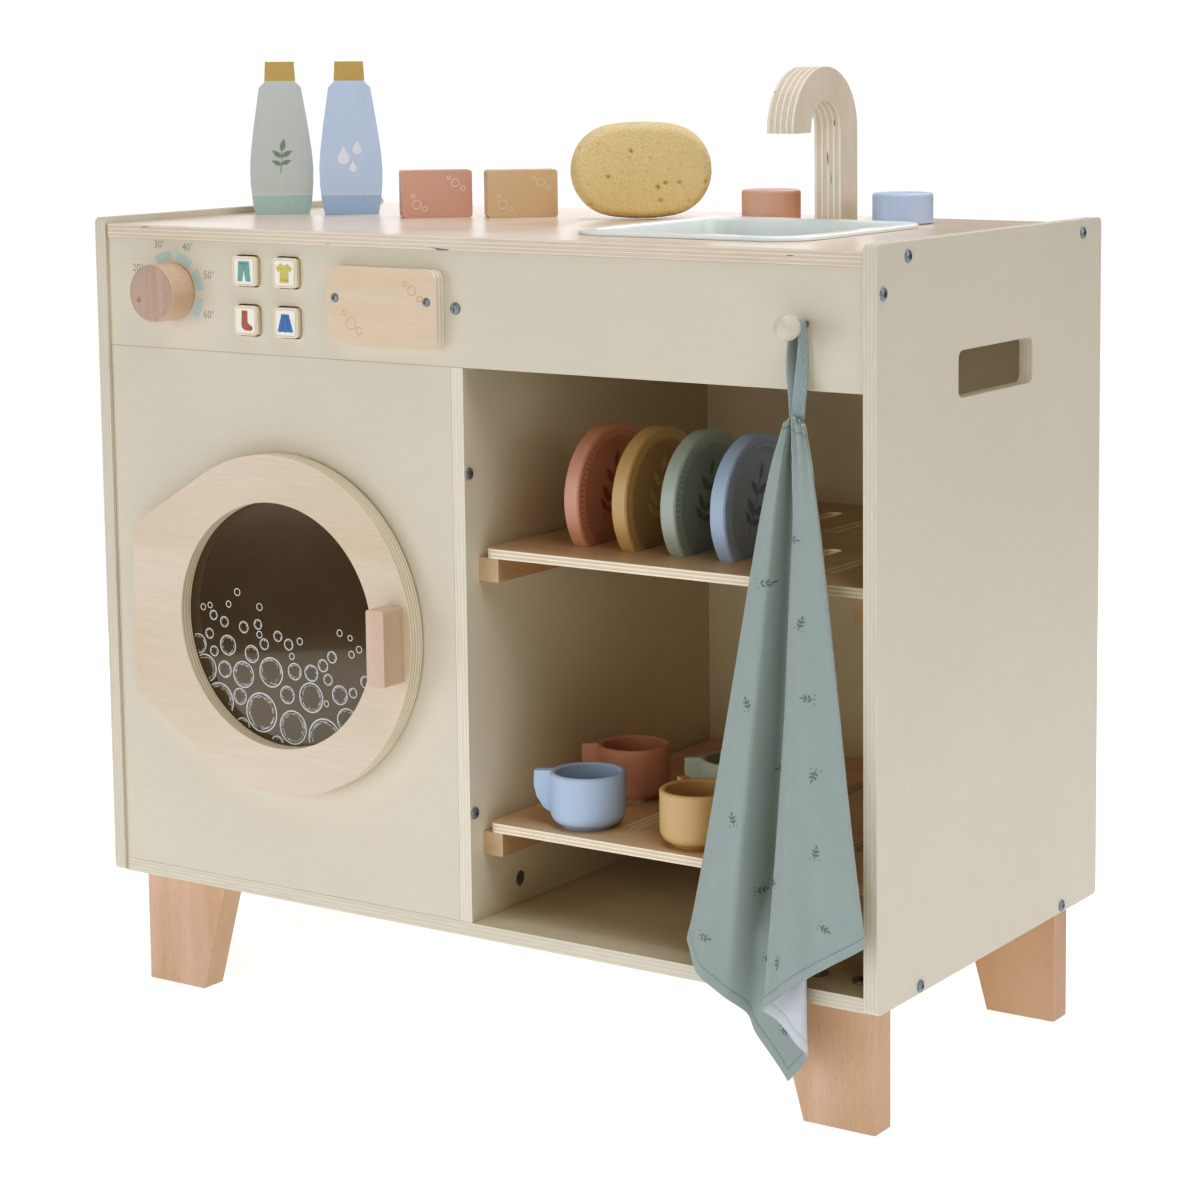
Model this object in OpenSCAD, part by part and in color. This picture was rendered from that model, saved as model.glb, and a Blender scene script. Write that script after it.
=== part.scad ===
// Toy washing machine with a sink top: painted plywood cabinet on beech legs, with its play pieces.
// Every module draws in the cabinet frame, in millimetres: X runs right from the left side panel's
// outer face, Y runs back from the side panels' front edges, Z runs up from their lower edges.
// stand() then puts the origin on the floor, below the middle of the whole unit.

/* [Cabinet] */
// Width over both side panels
body_w = 600; // [540:5:720]
// Depth of the side panels
body_d = 295; // [285:1:360]
// Height of the side panels
body_h = 448; // [440:1:540]
// Thickness of the cabinet's plywood
ply = 9; // [8:0.5:11]
// Corner radius of the side panels
panel_r = 4; // [1:0.5:10]
// Step from the side panels' front edges back to the front boards
front_inset = 2.5; // [1:0.5:5]
// Step from the side panels' rear edges forward to the back panel
back_inset = 3.5; // [2:0.5:8]
// Step from the side panels' top edges down to the worktop
top_inset = 4; // [0:0.5:10]
// Height of the control panel
control_h = 72; // [66:1:90]
// Distance of the divider's centre right of the cabinet's middle
divider_shift = 0.5; // [-10:0.5:10]
// Gap between boards that meet
seam = 0.2; // [0.1:0.05:0.3]

/* [Hand holes] */
// Length of a side panel's hand hole
grip_l = 98; // [80:1:120]
// Height of a hand hole
grip_h = 28.5; // [22:0.5:40]
// Distance from the panel's top edge down to the hole's middle
grip_drop = 83; // [60:1:110]
// Corner radius of a hand hole
grip_r = 5; // [2:0.5:10]

/* [Legs] */
// Height of the legs
leg_h = 80; // [60:1:120]
// Thickness of a leg board
leg_t = 18.5; // [15:0.5:25]
// Width of a leg at the floor
leg_foot = 49; // [35:1:60]
// Width of a leg at the cabinet
leg_head = 72; // [60:1:90]
// Inset of a leg from the side panel's outer face
leg_in_x = 12; // [10:0.5:30]
// Inset of a leg from the front or rear edge
leg_in_y = 19; // [12:0.5:40]

/* [Door] */
// Outer radius of the door ring
door_r = 112; // [100:1:116]
// Radius of the window opening
window_r = 81; // [60:1:86]
// Thickness of the door ring
door_t = 12; // [10:0.5:15]
// Distance from the left panel's outer face to the ring's centre
door_x = 158.5; // [150:0.5:170]
// Height of the ring's centre
door_z = 187.5; // [175:0.5:220]
// Height of the straight hinge edge
hinge_edge_h = 118; // [90:1:140]
// Distance from the ring's centre to the hinge edge
hinge_reach = 122.5; // [118:0.5:130]
// Gap between the door and the washer front
door_gap = 1.2; // [1.2:0.1:2]
// Thickness of the tinted window
window_t = 3; // [2:0.5:4]
// Width of the ledge that the window sits on
window_ledge = 9; // [6:0.5:12]
// Radius of the loading hole in the washer front
load_r = 84; // [70:1:88]
// Height, width and depth of the door handle
handle_size = [14, 20, 49];
// Distance from the ring's centre to the handle's middle
handle_x = 99.5; // [94:0.5:104]

/* [Controls] */
// Radius of the temperature dial
dial_r = 19; // [15:0.5:24]
// Depth of the temperature dial
dial_d = 21; // [15:0.5:28]
// Place of the dial: X, and height above the control panel's lower edge
dial_at = [66.5, 38];
// Side of a push button's face
button_w = 19.2; // [16:0.1:24]
// Clearance round a push button in its cut-out
button_gap = 0.9; // [0.5:0.1:1.5]
// How far a push button stands out
button_proud = 4; // [3:0.5:6]
// Travel of a push button
button_travel = 3; // [2:0.5:3.5]
// Distance between button centres, across and up
button_pitch = [34, 32];
// Centre of the button group: X, and height above the control panel's lower edge
button_at = [149, 37.8];

/* [Soap drawer] */
// Width and height of the drawer front
drawer_size = [86, 49];
// Centre of the drawer front: X, and height above the control panel's lower edge
drawer_at = [248.5, 35.7];
// Thickness of the drawer front
drawer_t = 9; // [6:0.5:12]
// Depth of the tray behind the front
tray_d = 95; // [70:1:130]
// Clearance between the tray and the hole that it slides in
tray_gap = 0.8; // [0.5:0.1:1.5]
// Wall of the tray
tray_wall = 3; // [2:0.5:4]

/* [Sink] */
// Outer width and depth of the basin's rim
sink_size = [172, 176];
// Corner radius of the rim
sink_r = 30; // [15:1:45]
// Height of the rim above the worktop
sink_rim_h = 3; // [2:0.5:5]
// Width of the rim
sink_rim_w = 8; // [6:0.5:12]
// Depth of the basin below the worktop
sink_depth = 52; // [35:1:56]
// Wall of the basin
sink_wall = 2.4; // [1.6:0.1:4]
// Clearance round the basin in the worktop
sink_gap = 1; // [0.5:0.1:2]
// Distance of the sink's middle left of the right bay's middle
sink_shift = 12; // [0:1:20]
// Distance from the front edge to the sink's middle
sink_y = 130; // [124:1:145]

/* [Tap] */
// Thickness of the tap's plywood
tap_t = 20; // [16:0.5:25]
// Width of the tap's post
tap_w = 21.5; // [16:0.5:26]
// Height of the arch's centre above the worktop
tap_rise = 61; // [45:1:80]
// Outer radius of the tap's arch
tap_r = 40.5; // [35:0.5:45]
// Distance from the rear edge of the side panels to the tap's middle
tap_back = 58; // [50:0.5:60]
// Radius of the tap knobs
tap_knob_r = 19.8; // [15:0.1:24]
// Height of the tap knobs
tap_knob_h = 19.5; // [12:0.5:26]
// Distance from the tap to each knob
tap_knob_pitch = 50; // [42:0.5:60]

/* [Shelves] */
// Height of the lower shelf's top face
shelf_low_z = 72; // [60:1:90]
// Height of the upper shelf's top face
shelf_high_z = 248; // [200:1:250]
// Thickness of a shelf
shelf_t = 6; // [5:0.5:8]
// Side of a shelf rail's square section
rail_s = 15; // [12:0.5:20]
// Gap at each end of a shelf
shelf_end_gap = 4.5; // [2:0.5:10]
// Distance from the front edge back to the shelves
shelf_front = 16; // [14:1:24]
// Width of a plate slot
slot_w = 12; // [11.5:0.1:14]
// Distance between neighbouring slots
slot_pitch = 36; // [30:1:45]
// Distance from the front edge to the middle of the front row of slots
slot_row_y = 86.5; // [80:0.5:95]
// Length of a plate slot
slot_l = 74; // [72:1:80]

/* [Play pieces] */
// Radius of a plate
plate_r = 45.4; // [40:0.1:48]
// Thickness of a plate
plate_t = 11; // [9:0.5:11]
// Outer radius of a cup
cup_r = 24; // [20:0.5:28]
// Height of a cup
cup_h = 35; // [30:0.5:42]
// Wall of a cup
cup_wall = 3.6; // [3:0.1:5]
// Height of a bottle
bottle_h = 106; // [90:1:120]
// Thickness of a bottle
bottle_t = 14; // [10:0.5:20]
// Width, thickness and height of a soap bar
soap_size = [48, 20, 32];
// Width, thickness and height of the sponge
sponge_size = [96, 34, 66];

/* [Towel] */
// Side of the square towel
towel_side = 283; // [240:1:300]
// Width of the hanging loop's tape
tape_w = 8; // [6:0.5:10]
// Thickness of the towel
towel_t = 1.2; // [1:0.1:1.3]
// Distance from the peg's middle down to the towel's neck
loop_drop = 49; // [40:1:60]

/* [Hidden] */
$fn = 64;

// Colours
paint = "#DDD6C4";
birch = "#E8D3B4";
beech = "#D2A079";
steel = "#9AA0A4";
cream = "#EFEBDD";
terracotta = "#C98468";
ochre = "#D0A957";
sage = "#A9B8AC";
blue = "#A9B9DC";

// Levels and inner faces of the cabinet
top_z = body_h - top_inset;
under_top_z = top_z - ply;
control_z = under_top_z - seam - control_h;
floor_z = ply + seam;
front_y = front_inset;
front_back_y = front_y + ply;
back_y = body_d - back_inset;
back_front_y = back_y - ply;
in_left = ply;
in_right = body_w - ply;
divider_x = body_w / 2 + divider_shift;
divider_l = divider_x - ply / 2;
divider_r = divider_x + ply / 2;
bay_mid_x = (divider_r + in_right) / 2;
bay_w = in_right - divider_r;

// Places of the front's pieces
dial_z = control_z + dial_at[1];
door_back_y = front_y - door_gap;
door_front_y = door_back_y - door_t;
handle_y = door_front_y - handle_size[1];
handle_z = door_z - 1;
front_reach = -handle_y;
mid_y = (body_d - front_reach) / 2;

// Places on the worktop
sink_x = bay_mid_x - sink_shift;
sink_hole = [sink_size[0] - 2 * sink_rim_w, sink_size[1] - 2 * sink_rim_w];
sink_hole_r = sink_r - sink_rim_w;
tap_y = body_d - tap_back;

// Running and holding clearances
run = 0.05;
fit = 0.3;

// Pan head screws of the cabinet: shank, head and cross recess
screw_r = 1.9;
screw_l = 26;
screw_head_r = 3.9;
screw_head_h = 1.8;
screw_hole_r = 2.05;
small_r = 1.4;
small_l = 16;
small_head_r = 2.9;
small_head_h = 1.3;
small_hole_r = 1.5;

// Screws through both side panels, as [Y, Z]
side_screws = [[36, top_z - ply / 2], [body_d - 28, top_z - ply / 2], [front_y + ply / 2, control_z + 57],
    [52, ply / 2], [body_d - 52, ply / 2]];
// Heights of the screws into the washer front's edges, from the left panel and from the divider
washer_screw_z = [79.5, 296];
// Height of the screw through the control panel into the divider
control_screw_z = control_z + 36.5;
// Heights of the screws through the back panel into the divider
back_screw_z = [60, under_top_z / 2, under_top_z - 40];
// Places of the screws up through the bottom board into the back panel
base_screw_x = [60, body_w / 2 - 60, body_w - 60];
// Distances along each rail to its screws
rail_screws_y = [54, 214];

// Barrel nuts and bolts that hold the divider to the bottom board
barrel_r = 5;
barrel_z = 25.5;
barrel_y = [55, back_front_y - 46];
barrel_bolt_r = 3;

// Leg bolts
leg_bolt_r = 3;
leg_bolt_head_r = 6;
leg_bolt_head_h = 2;
leg_bolt_in = [14, 44];

// Towel peg
peg_at = [in_right - 39, control_z + 38.2];
peg_ball_r = 7.7;
peg_ball_y = -18;
peg_r = 2.2;
peg_nut_r = 4;
peg_nut_h = 3.2;

// Door hinge: a slim piano hinge in the gap behind the straight edge
hinge_x = door_x - hinge_reach + 0.3;
hinge_y = front_y - door_gap / 2;
knuckle_r = 1.6;
pin_r = 0.8;
leaf_t = 0.5;
leaf_w = 17;
hinge_h = hinge_edge_h - 14;
knuckles = 5;
knuckle_h = hinge_h / knuckles;
hinge_groove_r = knuckle_r + 0.35;
hinge_screw_z = [-40, -4, 31];

// Door catch
catch_r = 5;
catch_t = 3;
catch_at = [handle_x, 0];

// Corner radius of the door's straight edge
edge_r = 5;

// Window and its screws
window_seat_r = window_r + window_ledge;
window_screws = 6;
window_screw_pcd = window_r + window_ledge / 2;

// Push buttons: a square stem in its cut-out, a flange behind the control panel and a spring
button_r = 3;
flange_w = button_w + 7;
flange_t = 3;
backboard_t = 6;
spring_r = 4.5;
spring_pocket_r = 5;
spring_pocket = 3;
spring_l = button_travel + 2 * spring_pocket + fit;
backboard_y = front_back_y + seam + flange_t + spring_l - 2 * spring_pocket;
backboard_w = button_pitch[0] + flange_w + 14;
backboard_h = control_h - 4;
post_w = 5;

// Soap drawer: tray section, hole and travel
tray_w = drawer_size[0] - 16;
tray_h = drawer_size[1] - 15;
drawer_z = control_z + drawer_at[1];
drawer_screw_in = 6.5;
drawer_r = 6;
guide_w = 9;
guide_t = 4;

// Axle bolts of the three knobs
axle_r = 3;
axle_head_r = 6.5;
axle_head_h = 2.5;
axle_in = 14;

// Tap dowel
dowel_r = 6;
dowel_in = 24;
dowel_washer_r = 11;
dowel_washer_t = 3;
tap_lift = 0.4;

// Shelves and slots
shelf_w = bay_w - 2 * shelf_end_gap;
shelf_d = back_front_y - seam - shelf_front;
slot_margin = 46;
slot_columns = floor((bay_w - 2 * slot_margin) / slot_pitch) + 1;
slot_first_x = bay_mid_x - (slot_columns - 1) * slot_pitch / 2;
slot_rear_y = shelf_front + back_front_y - slot_row_y;
// A plate rests where its two faces meet the round ends of its slot
function slot_half(x) = slot_l / 2 - slot_w / 2 + sqrt(pow(slot_w / 2, 2) - pow(x, 2));
function plate_seat(r, x) = sqrt(pow(r, 2) - pow(slot_half(x), 2));
plate_z = shelf_high_z + 0.05
    + max(plate_seat(plate_r - 1, plate_t / 2), plate_seat(plate_r, plate_t / 2 - 1));

// Loose pieces on the worktop: X, Y and turn
bottle_turn = 40;
bottle_green_at = [43, 141];
bottle_blue_at = [87, 163];
soap_pink_at = [163, 161];
soap_ochre_at = [214, 190];
sponge_at = [304, 204];
// Cups: X from the divider, Y and the direction of the ear
cup_blue_at = [62, 43.5, 202];
cup_terracotta_at = [46, 119, 205];
cup_ochre_at = [145, 43, 140];
cup_sage_at = [125, 121, 205];

// ---------------------------------------------------------------- helpers

// Moves the cabinet frame so that the origin lies on the floor under the unit's middle
module stand() {
    translate([-body_w / 2, -mid_y, leg_h]) children();
}

// A rectangle with true round corners, from its lower left corner
module round_rect(w, h, r) {
    translate([r, 0]) square([w - 2 * r, h]);
    translate([0, r]) square([w, h - 2 * r]);
    for (x = [r, w - r], y = [r, h - r]) translate([x, y]) circle(r);
}

// The same rectangle round its middle
module round_rect_mid(w, h, r) {
    translate([-w / 2, -h / 2]) round_rect(w, h, r);
}

// Extrudes a YZ outline along X from x
module along_x(x, t) {
    translate([x, 0, 0]) rotate([90, 0, 90]) linear_extrude(t) children();
}

// Extrudes an XZ outline along Y from y
module along_y(y, t) {
    translate([0, y + t, 0]) rotate([90, 0, 0]) linear_extrude(t) children();
}

// Extrudes an XY outline along Z from z
module along_z(z, t) {
    translate([0, 0, z]) linear_extrude(t) children();
}

// A straight bar between two corners
module bar(a, b) {
    translate(a) cube(b - a);
}

// Turns +Z to point along X (1), -X (-1), +Y (2) or -Y (-2)
module facing(d) {
    if (d == 1) rotate([0, 90, 0]) children();
    if (d == -1) rotate([0, -90, 0]) children();
    if (d == 2) rotate([-90, 0, 0]) children();
    if (d == -2) rotate([90, 0, 0]) children();
    if (d == 3) children();
}

// A pan head screw that points along +Z, its head behind z = 0
module pan_screw(l, r, head_r, head_h) {
    cylinder(r = r, h = l);
    difference() {
        rotate_extrude() polygon([[0, -head_h], [head_r * 0.55, -head_h], [head_r * 0.9, -head_h * 0.6],
            [head_r, 0], [0, 0]]);
        for (a = [0, 90]) rotate(a) translate([-head_r * 0.5, -0.45, -head_h - 1]) cube([head_r, 0.9, 1.9]);
    }
}

module screw() { pan_screw(screw_l, screw_r, screw_head_r, screw_head_h); }

module screw_hole() { translate([0, 0, -1]) cylinder(r = screw_hole_r, h = screw_l + 2); }

module small_screw() { pan_screw(small_l, small_r, small_head_r, small_head_h); }

module small_screw_hole() { translate([0, 0, -1]) cylinder(r = small_hole_r, h = small_l + 2); }

// Puts children at each of the places of the cabinet's screws, by group
module at_side_screws(left) {
    for (p = side_screws) translate([left ? 0 : body_w, p[0], p[1]]) facing(left ? 1 : -1) children();
}

module at_washer_screws(left) {
    x = left ? 0 : divider_r;
    for (z = washer_screw_z) translate([x, front_y + ply / 2, z]) facing(left ? 1 : -1) children();
}

module at_control_screw() {
    translate([divider_x, front_y, control_screw_z]) facing(2) children();
}

module at_back_screws() {
    for (z = back_screw_z) translate([divider_x, back_y, z]) facing(-2) children();
}

module at_base_screws() {
    for (x = base_screw_x) translate([x, back_y - ply / 2, 0]) children();
}

module at_rail_screws(left) {
    x = left ? divider_r + rail_s : in_right - rail_s;
    for (top = [shelf_low_z, shelf_high_z], y = rail_screws_y)
        translate([x, shelf_front + y, top - shelf_t - rail_s / 2]) facing(left ? -1 : 1) children();
}

module at_barrels() {
    for (y = barrel_y) translate([divider_x, y, 0]) children();
}

// ---------------------------------------------------------------- cabinet

module side_panel(left) {
    x = left ? 0 : in_right;
    color(paint) difference() {
        along_x(x, ply) difference() {
            round_rect(body_d, body_h, panel_r);
            translate([body_d / 2, body_h - grip_drop]) round_rect_mid(grip_l, grip_h, grip_r);
        }
        at_side_screws(left) screw_hole();
        if (left) at_washer_screws(true) screw_hole();
        if (!left) at_rail_screws(false) small_screw_hole();
    }
}

module side_panel_left() { side_panel(true); }

module side_panel_right() { side_panel(false); }

// The divider is notched at its top front corner for the control panel
module divider_panel() {
    color(paint) difference() {
        along_x(divider_l, ply) polygon([[front_y, floor_z], [back_front_y - seam, floor_z],
            [back_front_y - seam, under_top_z - seam], [front_back_y + seam, under_top_z - seam],
            [front_back_y + seam, control_z - seam], [front_y, control_z - seam]]);
        at_washer_screws(false) screw_hole();
        at_control_screw() screw_hole();
        at_back_screws() screw_hole();
        at_rail_screws(true) small_screw_hole();
        at_barrels() {
            translate([-ply, 0, barrel_z]) rotate([0, 90, 0]) cylinder(r = barrel_r + run, h = 2 * ply);
            cylinder(r = barrel_bolt_r + 0.2, h = barrel_z);
        }
    }
}

module back_panel() {
    color(paint) difference() {
        bar([in_left + seam, back_front_y, floor_z], [in_right - seam, back_y, under_top_z - seam]);
        at_back_screws() screw_hole();
        at_base_screws() screw_hole();
    }
}

module bottom_board() {
    color(paint) difference() {
        bar([in_left + seam, front_y, 0], [in_right - seam, back_y, ply]);
        for (left = [true, false]) at_side_screws(left) screw_hole();
        at_base_screws() screw_hole();
        at_barrels() cylinder(r = barrel_bolt_r + 0.2, h = 4 * ply, center = true);
        at_legs() at_leg_bolts() cylinder(r = leg_bolt_r + 0.1, h = 4 * ply, center = true);
    }
}

module worktop() {
    color(birch) difference() {
        bar([in_left + 0.8, front_y - 1, under_top_z], [in_right - 0.8, body_d - 1, top_z]);
        for (left = [true, false]) at_side_screws(left) screw_hole();
        translate([sink_x, sink_y, under_top_z - 1]) linear_extrude(ply + 2)
            round_rect_mid(sink_hole[0], sink_hole[1], sink_hole_r);
        translate([sink_x, tap_y, under_top_z - 1]) cylinder(r = dowel_r + run, h = ply + 2);
        at_tap_knobs() translate([0, 0, under_top_z - 1]) cylinder(r = axle_r + run, h = ply + 2);
    }
}

module control_panel() {
    color(paint) difference() {
        bar([in_left + seam, front_y, control_z], [in_right - seam, front_back_y, control_z + control_h]);
        for (left = [true, false]) at_side_screws(left) screw_hole();
        at_control_screw() screw_hole();
        translate([dial_at[0], front_y - 1, dial_z]) facing(2) cylinder(r = axle_r + run, h = ply + 2);
        at_buttons() along_y(front_y - 1, ply + 2)
            round_rect_mid(button_w + 2 * button_gap, button_w + 2 * button_gap, button_r + button_gap);
        translate([drawer_at[0], 0, drawer_z]) along_y(front_y - 1, ply + 2)
            square([tray_w + 2 * tray_gap, tray_h + 2 * tray_gap], center = true);
        translate([peg_at[0], front_y - 1, peg_at[1]]) facing(2) cylinder(r = peg_r + run, h = ply + 2);
    }
}

module washer_front() {
    color(paint) difference() {
        bar([in_left + seam, front_y, floor_z], [divider_l - seam, front_back_y, control_z - seam]);
        translate([door_x, front_y - 1, door_z]) facing(2) cylinder(r = load_r, h = ply + 2, $fn = 96);
        at_washer_screws(true) screw_hole();
        at_washer_screws(false) screw_hole();
        at_hinge_screws(false) leaf_screw_hole();
        // groove for the hinge knuckles
        translate([hinge_x, hinge_y, door_z - hinge_h / 2 - 1]) cylinder(r = hinge_groove_r, h = hinge_h + 2);
        // seat of the catch
        translate([door_x + catch_at[0], front_y - 1, door_z + catch_at[1]]) facing(2)
            cylinder(r = catch_r + run, h = catch_t + 1);
    }
}

module shelf(top) {
    color(birch) difference() {
        translate([bay_mid_x - shelf_w / 2, shelf_front, 0]) along_z(top - shelf_t, shelf_t)
            round_rect(shelf_w, shelf_d, 5);
        for (k = [0:slot_columns - 1], y = [slot_row_y, slot_rear_y])
            translate([slot_first_x + k * slot_pitch, y, 0]) along_z(top - shelf_t - 1, shelf_t + 2)
                slot();
    }
}

// A slot with round ends
module slot() {
    square([slot_w, slot_l - slot_w], center = true);
    for (y = [-1, 1]) translate([0, y * (slot_l - slot_w) / 2]) circle(slot_w / 2);
}

module shelf_upper() { shelf(shelf_high_z); }

module shelf_lower() { shelf(shelf_low_z); }

module shelf_rails() {
    color(beech) difference() {
        for (top = [shelf_low_z, shelf_high_z], x = [divider_r, in_right - rail_s])
            bar([x, shelf_front, top - shelf_t - rail_s], [x + rail_s, back_front_y - seam, top - shelf_t]);
        for (left = [true, false]) at_rail_screws(left) small_screw_hole();
    }
}

// ---------------------------------------------------------------- legs and fixings

// Puts children at the outer front corner of each leg, mirrored so that legs face inwards
module at_leg(right, rear) {
    translate([right ? body_w - leg_in_x : leg_in_x, rear ? body_d - leg_in_y - leg_t : leg_in_y, 0])
        mirror([right ? 1 : 0, 0, 0]) children();
}

module at_legs() {
    for (right = [false, true], rear = [false, true]) at_leg(right, rear) children();
}

module at_leg_bolts() {
    for (x = leg_bolt_in) translate([x, leg_t / 2, ply]) children();
}

// A tapered leg board: its outer edge is upright, its inner edge leans out to the top
module leg(right, rear) {
    color(beech) difference() {
        at_leg(right, rear) along_y(0, leg_t)
            polygon([[0, 0], [0, -leg_h], [leg_foot, -leg_h], [leg_head, 0]]);
        at_leg(right, rear) at_leg_bolts() translate([0, 0, -leg_h / 2])
            cylinder(r = leg_bolt_r + run, h = leg_h);
    }
}

module leg_front_left() { leg(false, false); }

module leg_front_right() { leg(true, false); }

module leg_rear_left() { leg(false, true); }

module leg_rear_right() { leg(true, true); }

module leg_bolts() {
    color(steel) at_legs() at_leg_bolts() {
        translate([0, 0, -leg_h / 2 + 1]) cylinder(r = leg_bolt_r, h = leg_h / 2 - 1);
        difference() {
            cylinder(r = leg_bolt_head_r, h = leg_bolt_head_h);
            translate([0, 0, leg_bolt_head_h - 1.2]) cylinder(r = 2, h = 2, $fn = 6);
        }
    }
}

module cabinet_screws() {
    color(steel) {
        for (left = [true, false]) {
            at_side_screws(left) screw();
            at_washer_screws(left) screw();
            at_rail_screws(left) small_screw();
        }
        at_control_screw() screw();
        at_back_screws() screw();
        at_base_screws() screw();
        at_hinge_screws(false) leaf_screw();
    }
}

module divider_fixings() {
    color(steel) at_barrels() {
        difference() {
            translate([-ply / 2 + 0.5, 0, barrel_z]) rotate([0, 90, 0]) cylinder(r = barrel_r, h = ply - 1);
            cylinder(r = barrel_bolt_r, h = 2 * barrel_z);
            translate([ply / 2 - 1.3, -barrel_r, barrel_z - 0.6]) cube([2, 2 * barrel_r, 1.2]);
        }
        cylinder(r = barrel_bolt_r, h = barrel_z + barrel_r - 1);
        translate([0, 0, -2.2]) cylinder(r = 5.5, h = 2.2);
    }
}

module peg_ball() {
    color(cream) difference() {
        translate([peg_at[0], peg_ball_y, peg_at[1]]) sphere(peg_ball_r);
        translate([peg_at[0], peg_ball_y, peg_at[1]]) facing(2) cylinder(r = peg_r, h = 2 * peg_ball_r);
    }
}

// Threaded stem through the control panel, with a nut behind it
module peg_stem() {
    color(steel) translate([peg_at[0], peg_ball_y, peg_at[1]]) facing(2) {
        cylinder(r = peg_r, h = front_back_y - peg_ball_y + peg_nut_h + 1);
        translate([0, 0, front_back_y - peg_ball_y]) cylinder(r = peg_nut_r, h = peg_nut_h, $fn = 6);
    }
}

// ---------------------------------------------------------------- hinge and catch

// Knuckles number k of the hinge, for k in which
module hinge_knuckles(which) {
    for (k = which) translate([hinge_x, hinge_y, door_z - hinge_h / 2 + k * knuckle_h + 0.1])
        cylinder(r = knuckle_r, h = knuckle_h - 0.2);
}

// One leaf of the hinge, from the knuckles to the right, between y0 and y0 + leaf_t
module hinge_leaf(y0, which) {
    difference() {
        union() {
            hinge_knuckles(which);
            for (k = which) bar([hinge_x, y0, door_z - hinge_h / 2 + k * knuckle_h + 0.1],
                [hinge_x + 4, y0 + leaf_t, door_z - hinge_h / 2 + (k + 1) * knuckle_h - 0.1]);
            bar([hinge_x + 2.5, y0, door_z - hinge_h / 2 + 0.1],
                [hinge_x + leaf_w, y0 + leaf_t, door_z + hinge_h / 2 - 0.1]);
        }
        translate([hinge_x, hinge_y, door_z - hinge_h]) cylinder(r = pin_r + run, h = 2 * hinge_h);
    }
}

module hinge_frame_leaf() {
    color(steel) difference() {
        hinge_leaf(front_y - leaf_t, [0, 2, 4]);
        at_hinge_screws(false) leaf_screw_hole();
    }
}

module door_hinge_leaf() {
    color(steel) difference() {
        hinge_leaf(door_back_y, [1, 3]);
        at_hinge_screws(true) leaf_screw_hole();
    }
}

// Countersunk screws through a leaf, flush with its face in the gap
module at_hinge_screws(door) {
    y = door ? door_back_y + leaf_t : front_y - leaf_t;
    for (z = hinge_screw_z) translate([hinge_x + 11, y, door_z + z + (door ? 9 : 0)])
        facing(door ? -2 : 2) children();
}

module leaf_screw() {
    cylinder(r1 = 2, r2 = 1.2, h = leaf_t + 0.3);
    cylinder(r = 1.2, h = 7);
}

module leaf_screw_hole() {
    cylinder(r1 = 2.05, r2 = 1.25, h = leaf_t + 0.3);
    translate([0, 0, -1]) cylinder(r = 1.3, h = 9);
}

module hinge_pin() {
    color(steel) translate([hinge_x, hinge_y, door_z - hinge_h / 2]) cylinder(r = pin_r, h = hinge_h);
}

module catch_plate() {
    color(steel) translate([door_x + catch_at[0], front_y, door_z + catch_at[1]]) facing(2)
        cylinder(r = catch_r, h = catch_t);
}

// ---------------------------------------------------------------- door

// Outline points where one line touches two circles, on the side given by s
function tangent(c1, r1, c2, r2, s) =
    let (d = c2 - c1, a = atan2(d[1], d[0]) + s * acos((r1 - r2) / norm(d)))
    [c1 + r1 * [cos(a), sin(a)], c2 + r2 * [cos(a), sin(a)]];

// The door's outline: a circle that runs out to a straight hinge edge with rounded corners
module door_outline() {
    corner_x = -hinge_reach + edge_r;
    corner_z = hinge_edge_h / 2 - edge_r;
    // the straight sides lie a hair inside the true tangents, so that they cross the circles cleanly
    hair = 0.02;
    up = tangent([0, 0], door_r - hair, [corner_x, corner_z], edge_r - hair, -1);
    down = tangent([0, 0], door_r - hair, [corner_x, -corner_z], edge_r - hair, 1);
    circle(door_r, $fn = 128);
    for (z = [-corner_z, corner_z]) translate([corner_x, z]) circle(edge_r);
    polygon([[0, 0], up[0], up[1], [-hinge_reach, corner_z], [-hinge_reach, -corner_z], down[1], down[0]]);
}

module at_window_screws() {
    for (k = [0:window_screws - 1]) rotate([0, 360 / window_screws * (k + 0.5), 0])
        translate([window_screw_pcd, 0, 0]) children();
}

module door_ring() {
    color(birch) difference() {
        translate([door_x, 0, door_z]) along_y(door_front_y, door_t) door_outline();
        translate([door_x, door_front_y - 1, door_z]) facing(2)
            cylinder(r = window_r, h = door_t + 2, $fn = 128);
        translate([door_x, door_back_y - window_t, door_z]) facing(2)
            cylinder(r = window_seat_r + fit, h = window_t + 1, $fn = 128);
        translate([hinge_x, hinge_y, door_z - hinge_h / 2 - 1]) cylinder(r = hinge_groove_r, h = hinge_h + 2);
        translate([door_x + catch_at[0], door_back_y + 1, door_z + catch_at[1]]) facing(-2)
            cylinder(r = catch_r + run, h = catch_t + 1);
        at_handle_screws() cylinder(r = small_hole_r, h = 2 * door_t, center = true);
        at_handle_screws() translate([0, 0, -0.01]) countersink(0.05);
        at_hinge_screws(true) leaf_screw_hole();
        translate([door_x, door_back_y, door_z]) at_window_screws() facing(-2)
            cylinder(r = small_hole_r, h = 7);
    }
}

module door_window() {
    color("#5C4B3C", 0.75) difference() {
        translate([door_x, door_back_y - window_t, door_z]) facing(2)
            cylinder(r = window_seat_r, h = window_t, $fn = 128);
        translate([door_x, door_back_y, door_z]) at_window_screws() facing(-2)
            cylinder(r = small_hole_r, h = 7);
        translate([door_x, door_back_y + 0.01, door_z]) at_window_screws() facing(-2)
            countersink(0.05);
    }
}

// A small screw's countersunk head, or with extra > 0 the seat for it
module countersink(extra) {
    cylinder(r1 = small_head_r + extra, r2 = small_r + extra, h = small_head_r - small_r);
}

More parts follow.
